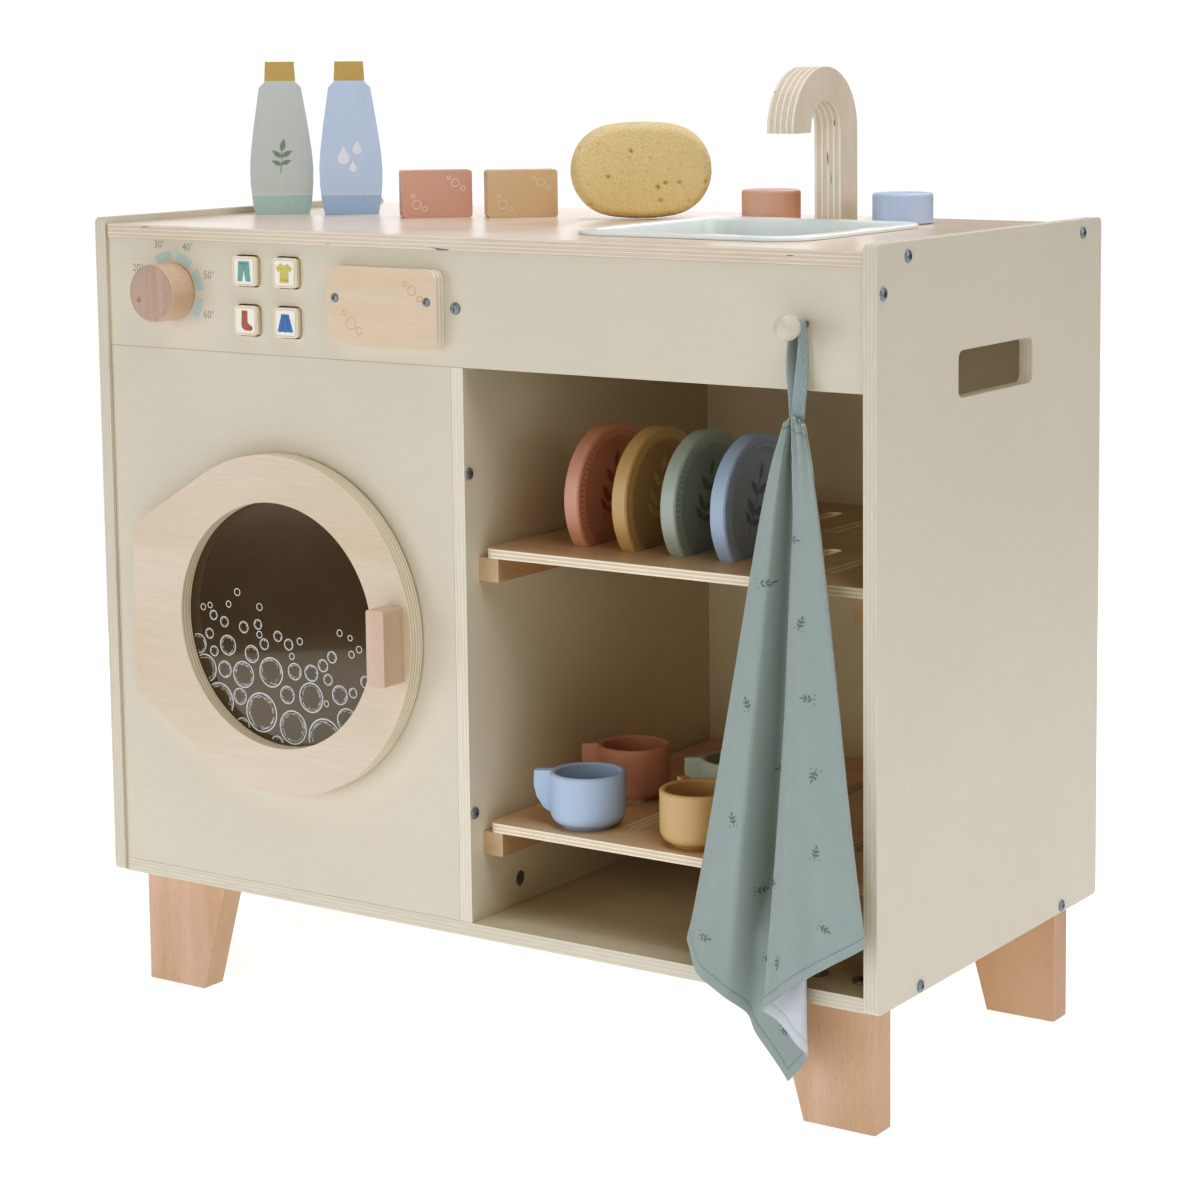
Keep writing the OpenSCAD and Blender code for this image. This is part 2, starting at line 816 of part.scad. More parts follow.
module at_handle_screws() {
    for (z = [-14, 14]) translate([door_x + handle_x, door_back_y, handle_z + z]) facing(-2) children();
}

// A beech block with eased edges
module door_handle() {
    ease = 2;
    color(beech) difference() {
        translate([door_x + handle_x, 0, handle_z]) along_y(handle_y, handle_size[1])
            round_rect_mid(handle_size[0], handle_size[2], ease);
        at_handle_screws() cylinder(r = small_hole_r, h = 2 * door_t);
    }
}

// Countersunk screws: two into the handle, six round the window, three through the hinge leaf
module door_screws() {
    color(steel) {
        at_handle_screws() {
            countersink(0);
            cylinder(r = small_r, h = door_t + 12);
        }
        translate([door_x, door_back_y, door_z]) at_window_screws() facing(-2) {
            countersink(0);
            cylinder(r = small_r, h = 6.5);
        }
        at_hinge_screws(true) leaf_screw();
    }
}

module door_magnet() {
    color(steel) translate([door_x + catch_at[0], door_back_y, door_z + catch_at[1]]) facing(-2)
        cylinder(r = catch_r, h = catch_t);
}

// ---------------------------------------------------------------- controls

module knob_axles() {
    color(steel) {
        translate([dial_at[0], front_back_y, dial_z]) facing(-2) knob_axle();
        at_tap_knobs() translate([0, 0, under_top_z]) knob_axle();
    }
}

// A bolt from behind a board: its head behind the board, its shank out into a knob
module knob_axle() {
    cylinder(r = axle_r, h = ply + axle_in);
    translate([0, 0, -axle_head_h]) cylinder(r = axle_head_r, h = axle_head_h);
}

// A turned knob with an eased rim, a blind bore for its axle and a dimple as its pointer
module dial_knob() {
    ease = 1.5;
    y0 = front_y - 0.4;
    color(beech) translate([dial_at[0], y0, dial_z]) facing(-2) difference() {
        rotate_extrude($fn = 96) polygon([[0, 0], [dial_r - 0.5, 0], [dial_r, 0.5], [dial_r, dial_d - ease],
            [dial_r - ease * 0.3, dial_d - ease * 0.3], [dial_r - ease, dial_d], [0, dial_d]]);
        translate([0, 0, -1]) cylinder(r = axle_r + run, h = axle_in + 2);
        rotate(20) translate([-dial_r * 0.62, 0, dial_d + 1]) sphere(2.6);
    }
}

module at_buttons() {
    for (i = [-0.5, 0.5], j = [-0.5, 0.5]) at_button(i, j) children();
}

module at_button(i, j) {
    translate([button_at[0] + i * button_pitch[0], 0, control_z + button_at[1] + j * button_pitch[1]])
        children();
}

// A push button: its face block in the cut-out and a wider flange behind the control panel
module push_button(i, j) {
    stem_back = front_back_y + seam + flange_t;
    color(cream) at_button(i, j) difference() {
        union() {
            along_y(front_y - button_proud, ply + button_proud + seam + 0.1)
                round_rect_mid(button_w, button_w, button_r);
            along_y(front_back_y + seam, flange_t) round_rect_mid(flange_w, flange_w, button_r);
        }
        translate([0, stem_back + 1, 0]) facing(-2) cylinder(r = spring_pocket_r, h = spring_pocket + 1);
    }
}

module button_top_left() { push_button(-0.5, 0.5); }

module button_top_right() { push_button(0.5, 0.5); }

module button_bottom_left() { push_button(-0.5, -0.5); }

module button_bottom_right() { push_button(0.5, -0.5); }

// The springs: sleeves between a pocket in each flange and one in the backboard
module button_springs() {
    color(steel) at_buttons() translate([0, front_back_y + seam + flange_t - spring_pocket, 0]) facing(2)
        difference() {
            cylinder(r = spring_r, h = spring_l);
            translate([0, 0, -1]) cylinder(r = spring_r - 0.8, h = spring_l + 2);
        }
}

// A board on four corner posts behind the buttons
module button_backboard() {
    z0 = control_z + 2;
    x0 = button_at[0] - backboard_w / 2;
    color(birch) difference() {
        union() {
            bar([x0, backboard_y, z0], [x0 + backboard_w, backboard_y + backboard_t, z0 + backboard_h]);
            for (x = [x0, x0 + backboard_w - post_w])
                bar([x, front_back_y, z0], [x + post_w, backboard_y + 0.1, z0 + backboard_h]);
        }
        at_buttons() translate([0, backboard_y - 1, 0]) facing(2)
            cylinder(r = spring_pocket_r, h = spring_pocket + 1);
    }
}

// ---------------------------------------------------------------- soap drawer

module at_drawer_screws() {
    for (s = [-1, 1])
        translate([drawer_at[0] + s * (drawer_size[0] / 2 - drawer_screw_in), 0, drawer_z + 4.6])
        children();
}

module drawer_front() {
    color(birch) difference() {
        translate([drawer_at[0], 0, drawer_z]) along_y(front_y - drawer_t - 0.2, drawer_t)
            round_rect_mid(drawer_size[0], drawer_size[1], drawer_r);
        at_drawer_screws() translate([0, front_y - drawer_t - 1, 0]) facing(2)
            cylinder(r = small_hole_r, h = drawer_t + 2);
    }
}

// An open-topped tray whose front wall is screwed to the drawer front through two lugs
module drawer_tray() {
    y0 = front_y - 0.2;
    w = tray_w;
    h = tray_h;
    color(birch) translate([drawer_at[0] - w / 2, y0, drawer_z - h / 2]) difference() {
        cube([w, tray_d, h]);
        translate([tray_wall, tray_wall, tray_wall]) cube([w - 2 * tray_wall, tray_d - 2 * tray_wall, h]);
    }
}

module drawer_screws() {
    color(steel) at_drawer_screws() translate([0, front_y - drawer_t - 0.2, 0]) facing(2)
        pan_screw(drawer_t - 0.3, small_r, small_head_r, small_head_h);
}

// Two L runners behind the control panel that the tray slides on
module drawer_guides() {
    z0 = drawer_z - tray_h / 2 - 0.3;
    y1 = front_back_y + tray_d - 14;
    color(birch) for (s = [-1, 1]) {
        x_out = drawer_at[0] + s * (tray_w / 2 + 0.4 + guide_t);
        x_in = drawer_at[0] + s * (tray_w / 2 - guide_w + guide_t);
        x_wall = drawer_at[0] + s * (tray_w / 2 + 0.4);
        bar([min(x_out, x_in), front_back_y, z0 - guide_t], [max(x_out, x_in), y1, z0]);
        bar([min(x_out, x_wall), front_back_y, z0 - guide_t], [max(x_out, x_wall), y1, z0 + 12]);
    }
}

// ---------------------------------------------------------------- sink and tap

// A moulded basin: one closed skin of rounded square rings, up the outside and down the inside
module sink_basin() {
    w = sink_hole[0] - 2 * sink_gap;
    d = sink_hole[1] - 2 * sink_gap;
    r = sink_hole_r - sink_gap;
    t = sink_wall;
    // each ring: shrink from the outer wall's top, height above the worktop
    outer = [[14, -sink_depth], [8.5, -sink_depth + 2], [6, -sink_depth + 7], [0, 0.1]];
    edge = [[-sink_rim_w + 1.5, 0.1], [-sink_rim_w, 1], [-sink_rim_w + 0.4, sink_rim_h - 0.8],
        [-sink_rim_w + 1.6, sink_rim_h], [t * 0.3, sink_rim_h], [t + 0.6, sink_rim_h - 0.8]];
    inner = [[t + 1.2, sink_rim_h - 2.5], [6 + t, -sink_depth + 8], [8.5 + t, -sink_depth + t + 2.5],
        [14.5 + t, -sink_depth + t]];
    color(cream) translate([sink_x, sink_y, top_z])
        skin([for (k = concat(outer, edge, inner))
            ring(w - 2 * k[0], d - 2 * k[0], max(r - k[0] * 0.6, 6), k[1])]);
}

// Points of a rounded rectangle at height z, the same number for every ring
ring_steps = 8;
function ring(w, d, r, z) = [for (q = [0:3], k = [0:ring_steps])
    let (a = 90 * q + 90 * k / ring_steps, sx = (q == 0 || q == 3) ? 1 : -1, sy = q < 2 ? 1 : -1)
    [sx * (w / 2 - r) + r * cos(a), sy * (d / 2 - r) + r * sin(a), z]];

// A closed solid through rings of points, its first and last ring filled in
module skin(rings) {
    n = len(rings[0]);
    m = len(rings);
    polyhedron([for (r = rings, p = r) p], concat(
        [[for (i = [0:n - 1]) i]],
        [[for (i = [n - 1:-1:0]) (m - 1) * n + i]],
        [for (j = [0:m - 2], i = [0:n - 1]) [j * n + i, (j + 1) * n + i, (j + 1) * n + (i + 1) % n]],
        [for (j = [0:m - 2], i = [0:n - 1]) [j * n + i, (j + 1) * n + (i + 1) % n, j * n + (i + 1) % n]]));
}

// The spout: an upright post that arches forward over the basin, cut from thick plywood
module tap_spout() {
    centre_y = tap_y + tap_w / 2 - tap_r;
    z0 = top_z + tap_lift;
    zc = top_z + tap_rise;
    color(birch) difference() {
        along_x(sink_x - tap_t / 2, tap_t) {
            translate([tap_y - tap_w / 2, z0]) square([tap_w, zc - z0]);
            translate([centre_y, zc]) intersection() {
                difference() {
                    circle(tap_r, $fn = 96);
                    circle(tap_r - tap_w, $fn = 96);
                }
                translate([-tap_r, -1.5]) square([2 * tap_r, 2 * tap_r]);
            }
        }
        translate([sink_x, tap_y, top_z - 1]) cylinder(r = dowel_r, h = dowel_in + 1);
    }
}

// The dowel that the spout turns on, with a washer under the worktop
module tap_dowel() {
    color(beech) translate([sink_x, tap_y, 0]) {
        translate([0, 0, under_top_z - 0.3 - dowel_washer_t])
            cylinder(r = dowel_r, h = ply + 0.3 + dowel_washer_t + dowel_in);
        translate([0, 0, under_top_z - 0.3 - dowel_washer_t])
            cylinder(r = dowel_washer_r, h = dowel_washer_t);
    }
}

module at_tap_knobs() {
    for (s = [-1, 1]) at_tap_knob(s) children();
}

module at_tap_knob(s) {
    translate([sink_x + s * tap_knob_pitch, tap_y, 0]) children();
}

module tap_knob(s) {
    ease = 1.5;
    r = tap_knob_r;
    h = tap_knob_h;
    at_tap_knob(s) translate([0, 0, top_z + tap_lift]) difference() {
        rotate_extrude($fn = 96) polygon([[0, 0], [r - 0.5, 0], [r, 0.5], [r, h - ease],
            [r - ease * 0.3, h - ease * 0.3],
            [r - ease, h], [0, h]]);
        translate([0, 0, -1]) cylinder(r = axle_r + run, h = axle_in + 2);
    }
}

module tap_knob_hot() { color(terracotta) tap_knob(-1); }

module tap_knob_cold() { color("#9DB4DD") tap_knob(1); }

// ---------------------------------------------------------------- play pieces

// Stands children on the worktop at [x, y], turned about Z
module on_top(at, turn) {
    translate([at[0], at[1], top_z + 0.1]) rotate(turn) children();
}

// A bottle cut from board: foot, swelling body, shoulders and cap, as half widths up its height
module bottle() {
    half = [[18.6, 0], [20.4, 8], [21.6, 20], [21.9, 32], [21, 44], [18.6, 62], [16.4, 76], [15, 85],
        [14.6, 88],
        [12.4, 90.2], [10.6, 91.8], [10.6, 93], [9.9, 106]];
    k = bottle_h / 106;
    along_y(-bottle_t / 2, bottle_t) polygon(concat([for (p = half) [p[0], p[1] * k]],
        [for (i = [len(half) - 1:-1:0]) [-half[i][0], half[i][1] * k]]));
}

module bottle_green() { color("#BDC5B8") on_top(bottle_green_at, bottle_turn) bottle(); }

module bottle_blue() { color(blue) on_top(bottle_blue_at, bottle_turn) bottle(); }

module soap() {
    translate([0, 0, soap_size[2] / 2]) along_y(-soap_size[1] / 2, soap_size[1])
        round_rect_mid(soap_size[0], soap_size[2], 2);
}

module soap_pink() { color("#D79A86") on_top(soap_pink_at, bottle_turn + 4) soap(); }

module soap_ochre() { color(ochre) on_top(soap_ochre_at, bottle_turn + 4) soap(); }

// The sponge: an oval cushion on its long edge, crowned on both faces, cut flat where it stands
module sponge() {
    rim = sponge_size[2] / 2;
    crown = sponge_size[1] / 2;
    color("#E3C877") on_top(sponge_at, bottle_turn) translate([0, 0, rim - 0.5]) intersection() {
        hull() for (s = [-1, 1]) translate([s * (sponge_size[0] / 2 - rim), 0, 0]) rotate([90, 0, 0])
            rotate_extrude($fn = 40) polygon(concat([[0, -crown], [0, crown]],
                [for (a = [80:-20:-80]) [rim - 9 + 9 * cos(a), (crown - 9) * sign(a) + 9 * sin(a)]]));
        translate([-100, -100, -rim + 0.5]) cube(200);
    }
}

// A turned plate that stands on edge in a slot: a raised rim round a shallow well
module plate(k) {
    well_r = plate_r - 9;
    translate([slot_first_x + k * slot_pitch - plate_t / 2, slot_row_y, plate_z]) facing(1)
        rotate_extrude($fn = 96) polygon([[0, 0], [plate_r - 1, 0], [plate_r, 1], [plate_r, plate_t - 1],
            [plate_r - 1, plate_t], [well_r + 1, plate_t], [well_r - 2, plate_t - 5], [0, plate_t - 5]]);
}

module plate_terracotta() { color(terracotta) plate(0); }

module plate_ochre() { color(ochre) plate(1); }

module plate_sage() { color(sage) plate(2); }

module plate_blue() { color(blue) plate(3); }

// A turned cup with a rounded foot and a solid ear that tapers down its side
module cup(at) {
    r = cup_r;
    h = cup_h;
    n = r - cup_wall;
    translate([divider_r + at[0], at[1], shelf_low_z + 0.1]) rotate(at[2]) {
        rotate_extrude($fn = 72) polygon(concat([[0, 0], [r * 0.66, 0], [r * 0.7, 1.5]],
            [for (a = [-75:15:0]) [r - 9 + 9 * cos(a), 10.5 + 9 * sin(a)]],
            [[r, h - 1], [r - 1, h], [n + 1, h], [n, h - 1]],
            [for (a = [0:-15:-90]) [n - 8 + 8 * cos(a), 13 + 8 * sin(a)]], [[0, 5]]));
        difference() {
            along_y(-3.2, 6.4) polygon([[n + 1.5, h], [r + 10, h - 0.4], [r + 10.4, h - 9], [r + 8.6, h - 17],
                [r + 4, h - 24], [n + 1.5, h - 28]]);
            translate([0, 0, -1]) cylinder(r = n + 2, h = h + 2, $fn = 72);
        }
    }
}

module cup_blue() { color(blue) cup(cup_blue_at); }

module cup_terracotta() { color(terracotta) cup(cup_terracotta_at); }

module cup_ochre() { color(ochre) cup(cup_ochre_at); }

module cup_sage() { color(sage) cup(cup_sage_at); }

// ---------------------------------------------------------------- towel

// The towel hangs by one corner, so all its threads run down from the neck and the cloth is a folded
// cone. Each bend of the fold is a thread: its lean sideways and back, and its angle in the flat
// cloth, where 0 is the diagonal and 45 an edge. All are in degrees.
folds = [[-7.7, 1.5, -45], [-2.4, 2.2, -36], [-2.4, 1.5, -34.5], [-12, 0.2, -15.5], [-12.4, -0.6, -14],
    [-9.3, -1.5, -10.5], [-5.7, -1.4, -7], [-5.3, -0.35, -5.6], [1.3, 0, 1.5], [1.4, -0.6, 2.3],
    [-2.6, -1, 7.3], [-2.9, -1.6, 8.3], [0.2, -2.3, 11.8], [4.6, -2.1, 16.6], [8.4, -1.1, 20.9],
    [8.2, -0.4, 21.9], [2.7, 0.1, 31], [1.7, 0.6, 33], [-4.2, 0.4, 45]];
threads = concat([for (i = [0:len(folds) - 2]) let (d = folds[i + 1] - folds[i], n = ceil(norm(d) / 5))
    for (k = [0:n - 1]) folds[i] + d * k / n], [folds[len(folds) - 1]]);
last_thread = len(threads) - 1;

// Length of thread number i, from the neck to the hem
function thread_l(i) = towel_side / cos(45 - abs(threads[i][2]));

// The threads leave the neck side by side, in a small bundle
towel_neck = [peg_at[0] - 1, -6, peg_at[1] - loop_drop];
neck_spread = [0.5, 2.6];
neck_top = 8;
function spot(i, l) = let (a = threads[i])
    [neck_spread[0] * a[0] + l * sin(a[0]), neck_spread[1] * a[1] + l * sin(a[1]),
        -l * cos(a[0]) * cos(a[1])];

// Half the cloth's thickness, across the fold line at thread i; it is pressed thinner at the neck
function across(i, l) = let (p = spot(max(i - 1, 0), l), q = spot(min(i + 1, last_thread), l), o = spot(i, l),
    u = i == 0 ? side_of(q - o) : side_of(o - p), v = i == last_thread ? u : side_of(q - o), n = u + v)
    (0.3 * towel_t + 0.2 * towel_t * min(l / 80, 1)) * n / max(n * u, 0.6);
function side_of(d) = [-d[1], d[0], 0] / norm([d[0], d[1]]);

module towel() {
    color("#9DB1B3") {
        towel_cloth();
        towel_loop();
    }
}

module towel_cloth() {
    n = last_thread;
    m = 7;
    w = n + 1;
    top = [for (j = [0:m], i = [0:n])
        let (l = neck_top + (thread_l(i) - neck_top) * j / m) spot(i, l) + across(i, l)];
    under = [for (j = [0:m], i = [0:n])
        let (l = neck_top + (thread_l(i) - neck_top) * j / m) spot(i, l) - across(i, l)];
    o = w * (m + 1);
    quads = concat([for (j = [0:m - 1], i = [0:n - 1])
            [j * w + i, (j + 1) * w + i, (j + 1) * w + i + 1, j * w + i + 1]],
        [for (j = [0:m - 1], i = [0:n - 1])
            [o + j * w + i, o + j * w + i + 1, o + (j + 1) * w + i + 1, o + (j + 1) * w + i]],
        [for (i = [0:n - 1]) [i, i + 1, o + i + 1, o + i]],
        [for (i = [0:n - 1]) [m * w + i + 1, m * w + i, o + m * w + i, o + m * w + i + 1]],
        [for (j = [0:m - 1]) [(j + 1) * w, j * w, o + j * w, o + (j + 1) * w]],
        [for (j = [0:m - 1]) [j * w + n, (j + 1) * w + n, o + (j + 1) * w + n, o + j * w + n]]);
    translate(towel_neck) polyhedron(concat(top, under),
        [for (q = quads, t = [[0, 1, 2], [0, 2, 3]]) [q[t[0]], q[t[1]], q[t[2]]]], convexity = 12);
}

// The loop: a flat tape round the peg's stem whose two ends are sewn together at the towel's corner
module towel_loop() {
    r = peg_r + fit;
    t = 1.2;
    low = towel_neck[2] - neck_top - peg_at[1];
    join = low + 10;
    translate([peg_at[0], 0, peg_at[1]]) along_y(towel_neck[1] - tape_w / 2, tape_w) {
        difference() {
            union() {
                circle(r + t);
                polygon([[-r - t, 0], [r + t, 0], [t, join - 1], [-t, join - 1]]);
            }
            circle(r);
            polygon([[-r, 0], [r, 0], [0.05, join], [-0.05, join]]);
        }
        polygon([[-t, join], [t, join], [t - 1, low], [-t - 1, low]]);
    }
}

// ---------------------------------------------------------------- nodes

stand() side_panel_left();
stand() side_panel_right();
stand() divider_panel();
stand() back_panel();
stand() bottom_board();
stand() worktop();
stand() control_panel();
stand() washer_front();
stand() shelf_upper();
stand() shelf_lower();
stand() shelf_rails();
stand() leg_front_left();
stand() leg_front_right();
stand() leg_rear_left();
stand() leg_rear_right();
stand() leg_bolts();
stand() cabinet_screws();
stand() divider_fixings();
stand() peg_ball();
stand() peg_stem();
stand() hinge_frame_leaf();
stand() hinge_pin();
stand() catch_plate();
stand() drawer_guides();
stand() button_backboard();
stand() button_springs();
stand() knob_axles();
stand() door_ring();
stand() door_window();
stand() door_handle();
stand() door_hinge_leaf();
stand() door_screws();
stand() door_magnet();
stand() drawer_front();
stand() drawer_tray();
stand() drawer_screws();
stand() dial_knob();
stand() button_top_left();
stand() button_top_right();
stand() button_bottom_left();
stand() button_bottom_right();
stand() sink_basin();
stand() tap_spout();
stand() tap_dowel();
stand() tap_knob_hot();
stand() tap_knob_cold();
stand() bottle_green();
stand() bottle_blue();
stand() soap_pink();
stand() soap_ochre();
stand() sponge();
stand() plate_terracotta();
stand() plate_ochre();
stand() plate_sage();
stand() plate_blue();
stand() cup_blue();
stand() cup_terracotta();
stand() cup_ochre();
stand() cup_sage();
stand() towel();
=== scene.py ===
"""Looks, light and camera for a toy washing machine with a sink top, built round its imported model.

Everything is in metres in the model's frame: X right, Y back, Z up, with the floor at z = 0.
Sizes that come from a ruler are written as a number of millimetres times MM.
"""
import math
import random

import bpy
import numpy as np
from mathutils import Matrix, Vector, noise


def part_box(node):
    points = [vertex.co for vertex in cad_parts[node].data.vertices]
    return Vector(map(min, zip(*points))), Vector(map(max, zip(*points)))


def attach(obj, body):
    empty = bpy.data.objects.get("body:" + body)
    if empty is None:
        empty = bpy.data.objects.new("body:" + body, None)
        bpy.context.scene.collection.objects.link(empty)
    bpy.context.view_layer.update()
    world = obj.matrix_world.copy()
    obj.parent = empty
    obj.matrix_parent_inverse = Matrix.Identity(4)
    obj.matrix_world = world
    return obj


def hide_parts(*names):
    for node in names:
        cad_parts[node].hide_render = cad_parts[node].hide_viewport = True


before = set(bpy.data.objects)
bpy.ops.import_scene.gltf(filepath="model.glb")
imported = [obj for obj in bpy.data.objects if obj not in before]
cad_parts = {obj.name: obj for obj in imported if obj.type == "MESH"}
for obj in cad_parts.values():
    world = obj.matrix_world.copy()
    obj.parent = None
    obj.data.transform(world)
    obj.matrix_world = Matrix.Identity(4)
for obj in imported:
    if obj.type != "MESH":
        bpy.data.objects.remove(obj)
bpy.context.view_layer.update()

MM = 0.001
X, Y, Z = 0, 1, 2


def middle(node):
    """The middle of a node's box."""
    low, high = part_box(node)
    return (Vector(low) + Vector(high)) / 2


def size(node):
    """The size of a node's box."""
    low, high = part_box(node)
    return Vector(high) - Vector(low)


# -------- camera, light and floor


def make_camera():
    """The camera at the photograph's place. Its shift brings the object to the middle of the frame."""
    data = bpy.data.cameras.new("photo_camera")
    data.sensor_fit = "HORIZONTAL"
    data.sensor_width = 36
    data.lens = 88.036
    data.shift_x, data.shift_y = -0.1, -0.167
    data.clip_end = 50
    camera = bpy.data.objects.new("photo_camera", data)
    camera.location = (1.1072, -1.5665, 0.6413)
    camera.rotation_euler = [math.radians(a) for a in (83.0632, 0.3902, 32.403)]
    bpy.context.scene.collection.objects.link(camera)
    bpy.context.scene.camera = camera


def make_light():
    """A white backdrop and nine softboxes in a ring and above."""
    world = bpy.data.worlds.new("studio")
    scene = bpy.context.scene
    scene.world = world
    world.use_nodes = True
    nodes, links = world.node_tree.nodes, world.node_tree.links
    background = nodes["Background"]
    background.inputs["Color"].default_value = (1, 1, 1, 1)
    # the backdrop shows white and adds next to nothing to the softboxes' light
    path, strength = nodes.new("ShaderNodeLightPath"), nodes.new("ShaderNodeMapRange")
    strength.inputs["To Min"].default_value = 0.03
    strength.inputs["To Max"].default_value = 1.05
    links.new(path.outputs["Is Camera Ray"], strength.inputs["Value"])
    links.new(strength.outputs["Result"], background.inputs["Strength"])
    # name, degrees to the right of the front, degrees up, watts
    for name, *setting in (("front", 0, 12, 7.5), ("front_low", 8, -3, 6), ("front_left", -35, 7, 17),
                           ("right_front", 40, 4, 3), ("right", 100, 20, 16.5), ("right_high", 60, 50, 17.5),
                           ("top", 0, 88, 29), ("behind", 180, 45, 24), ("behind_low", 219, 5, 8.5)):
        softbox("softbox_" + name, *setting)
    scene.view_settings.view_transform = "Standard"
    scene.view_settings.look = "None"
    deepen_shadows(scene.view_settings)


def softbox(name, around, up, power, side=1.3, away=2.6):
    """A square area light that looks at the object's middle from some metres away."""
    around, up = math.radians(around), math.radians(up)
    data = bpy.data.lights.new(name, "AREA")
    data.size = side
    data.energy = power
    light = bpy.data.objects.new(name, data)
    toward = Vector((math.sin(around) * math.cos(up), -math.cos(around) * math.cos(up), math.sin(up)))
    light.location = Vector((0, 0, 0.3)) + toward * away
    light.rotation_euler = (-toward).to_track_quat("-Z", "Y").to_euler()
    bpy.context.scene.collection.objects.link(light)


def deepen_shadows(view):
    """The photograph's grading: shadows a little deeper and warmer than a plain exposure."""
    view.use_curve_mapping = True
    curves = view.curve_mapping
    for curve, points in zip(curves.curves, (((0.06, 0.046), (0.16, 0.148), (0.35, 0.35), (0.7, 0.7)),
                                             ((0.06, 0.040), (0.16, 0.138), (0.35, 0.345), (0.7, 0.7)),
                                             ((0.06, 0.029), (0.16, 0.118), (0.35, 0.335), (0.7, 0.7)), ())):
        for x, y in points:
            curve.points.new(x, y).handle_type = "AUTO_CLAMPED"
    curves.update()


def make_floor():
    """A round white floor that glows, more so farther out, so that it meets the backdrop unseen."""
    look = Look("floor_white", {"Base Color": (0.45, 0.45, 0.45, 1), "Roughness": 0.9,
                                "Specular IOR Level": 0.1, "Emission Color": (1, 1, 1, 1)})
    away = look.add("ShaderNodeVectorMath", {0: look.spot}, operation="LENGTH").outputs["Value"]
    look.set({"Emission Strength": look.span(away, 0.4, 1.0, 0.8, 1.1)})
    corners = [(x, y, 0) for x, y in circle(0, 0, 1.4, 72)]
    mesh_object("floor", corners, [range(72)], look.material)


# -------- meshes


def mesh_object(name, points, faces, *materials, smooth=False):
    """A mesh object from points and faces, linked to the scene."""
    mesh = bpy.data.meshes.new(name)
    mesh.from_pydata([tuple(p) for p in points], [], [tuple(f) for f in faces])
    mesh.update()
    if smooth:
        mesh.shade_smooth()
    for material in materials:
        mesh.materials.append(material)
    obj = bpy.data.objects.new(name, mesh)
    bpy.context.scene.collection.objects.link(obj)
    return obj


def tube(name, points, around, material):
    """A smooth closed mesh from rings of so many points each, with a face over both ends."""
    last = len(points) - around
    faces = [(j + i, j + (i + 1) % around, j + around + (i + 1) % around, j + around + i)
             for j in range(0, last, around) for i in range(around)]
    faces += [range(around - 1, -1, -1), range(last, len(points))]
    return mesh_object(name, points, faces, material, smooth=True)


# -------- materials


def linear(hex_colour):
    """An sRGB hex colour as the linear colour that shaders take."""
    parts = [int(hex_colour[i:i + 2], 16) / 255 for i in (1, 3, 5)]
    return (*[c / 12.92 if c <= 0.04045 else ((c + 0.055) / 1.055) ** 2.4 for c in parts], 1)


def shade(hex_colour, factor):
    """A linear colour from an sRGB hex colour made lighter or darker."""
    return (*[min(c * factor, 1) for c in linear(hex_colour)[:3]], 1)


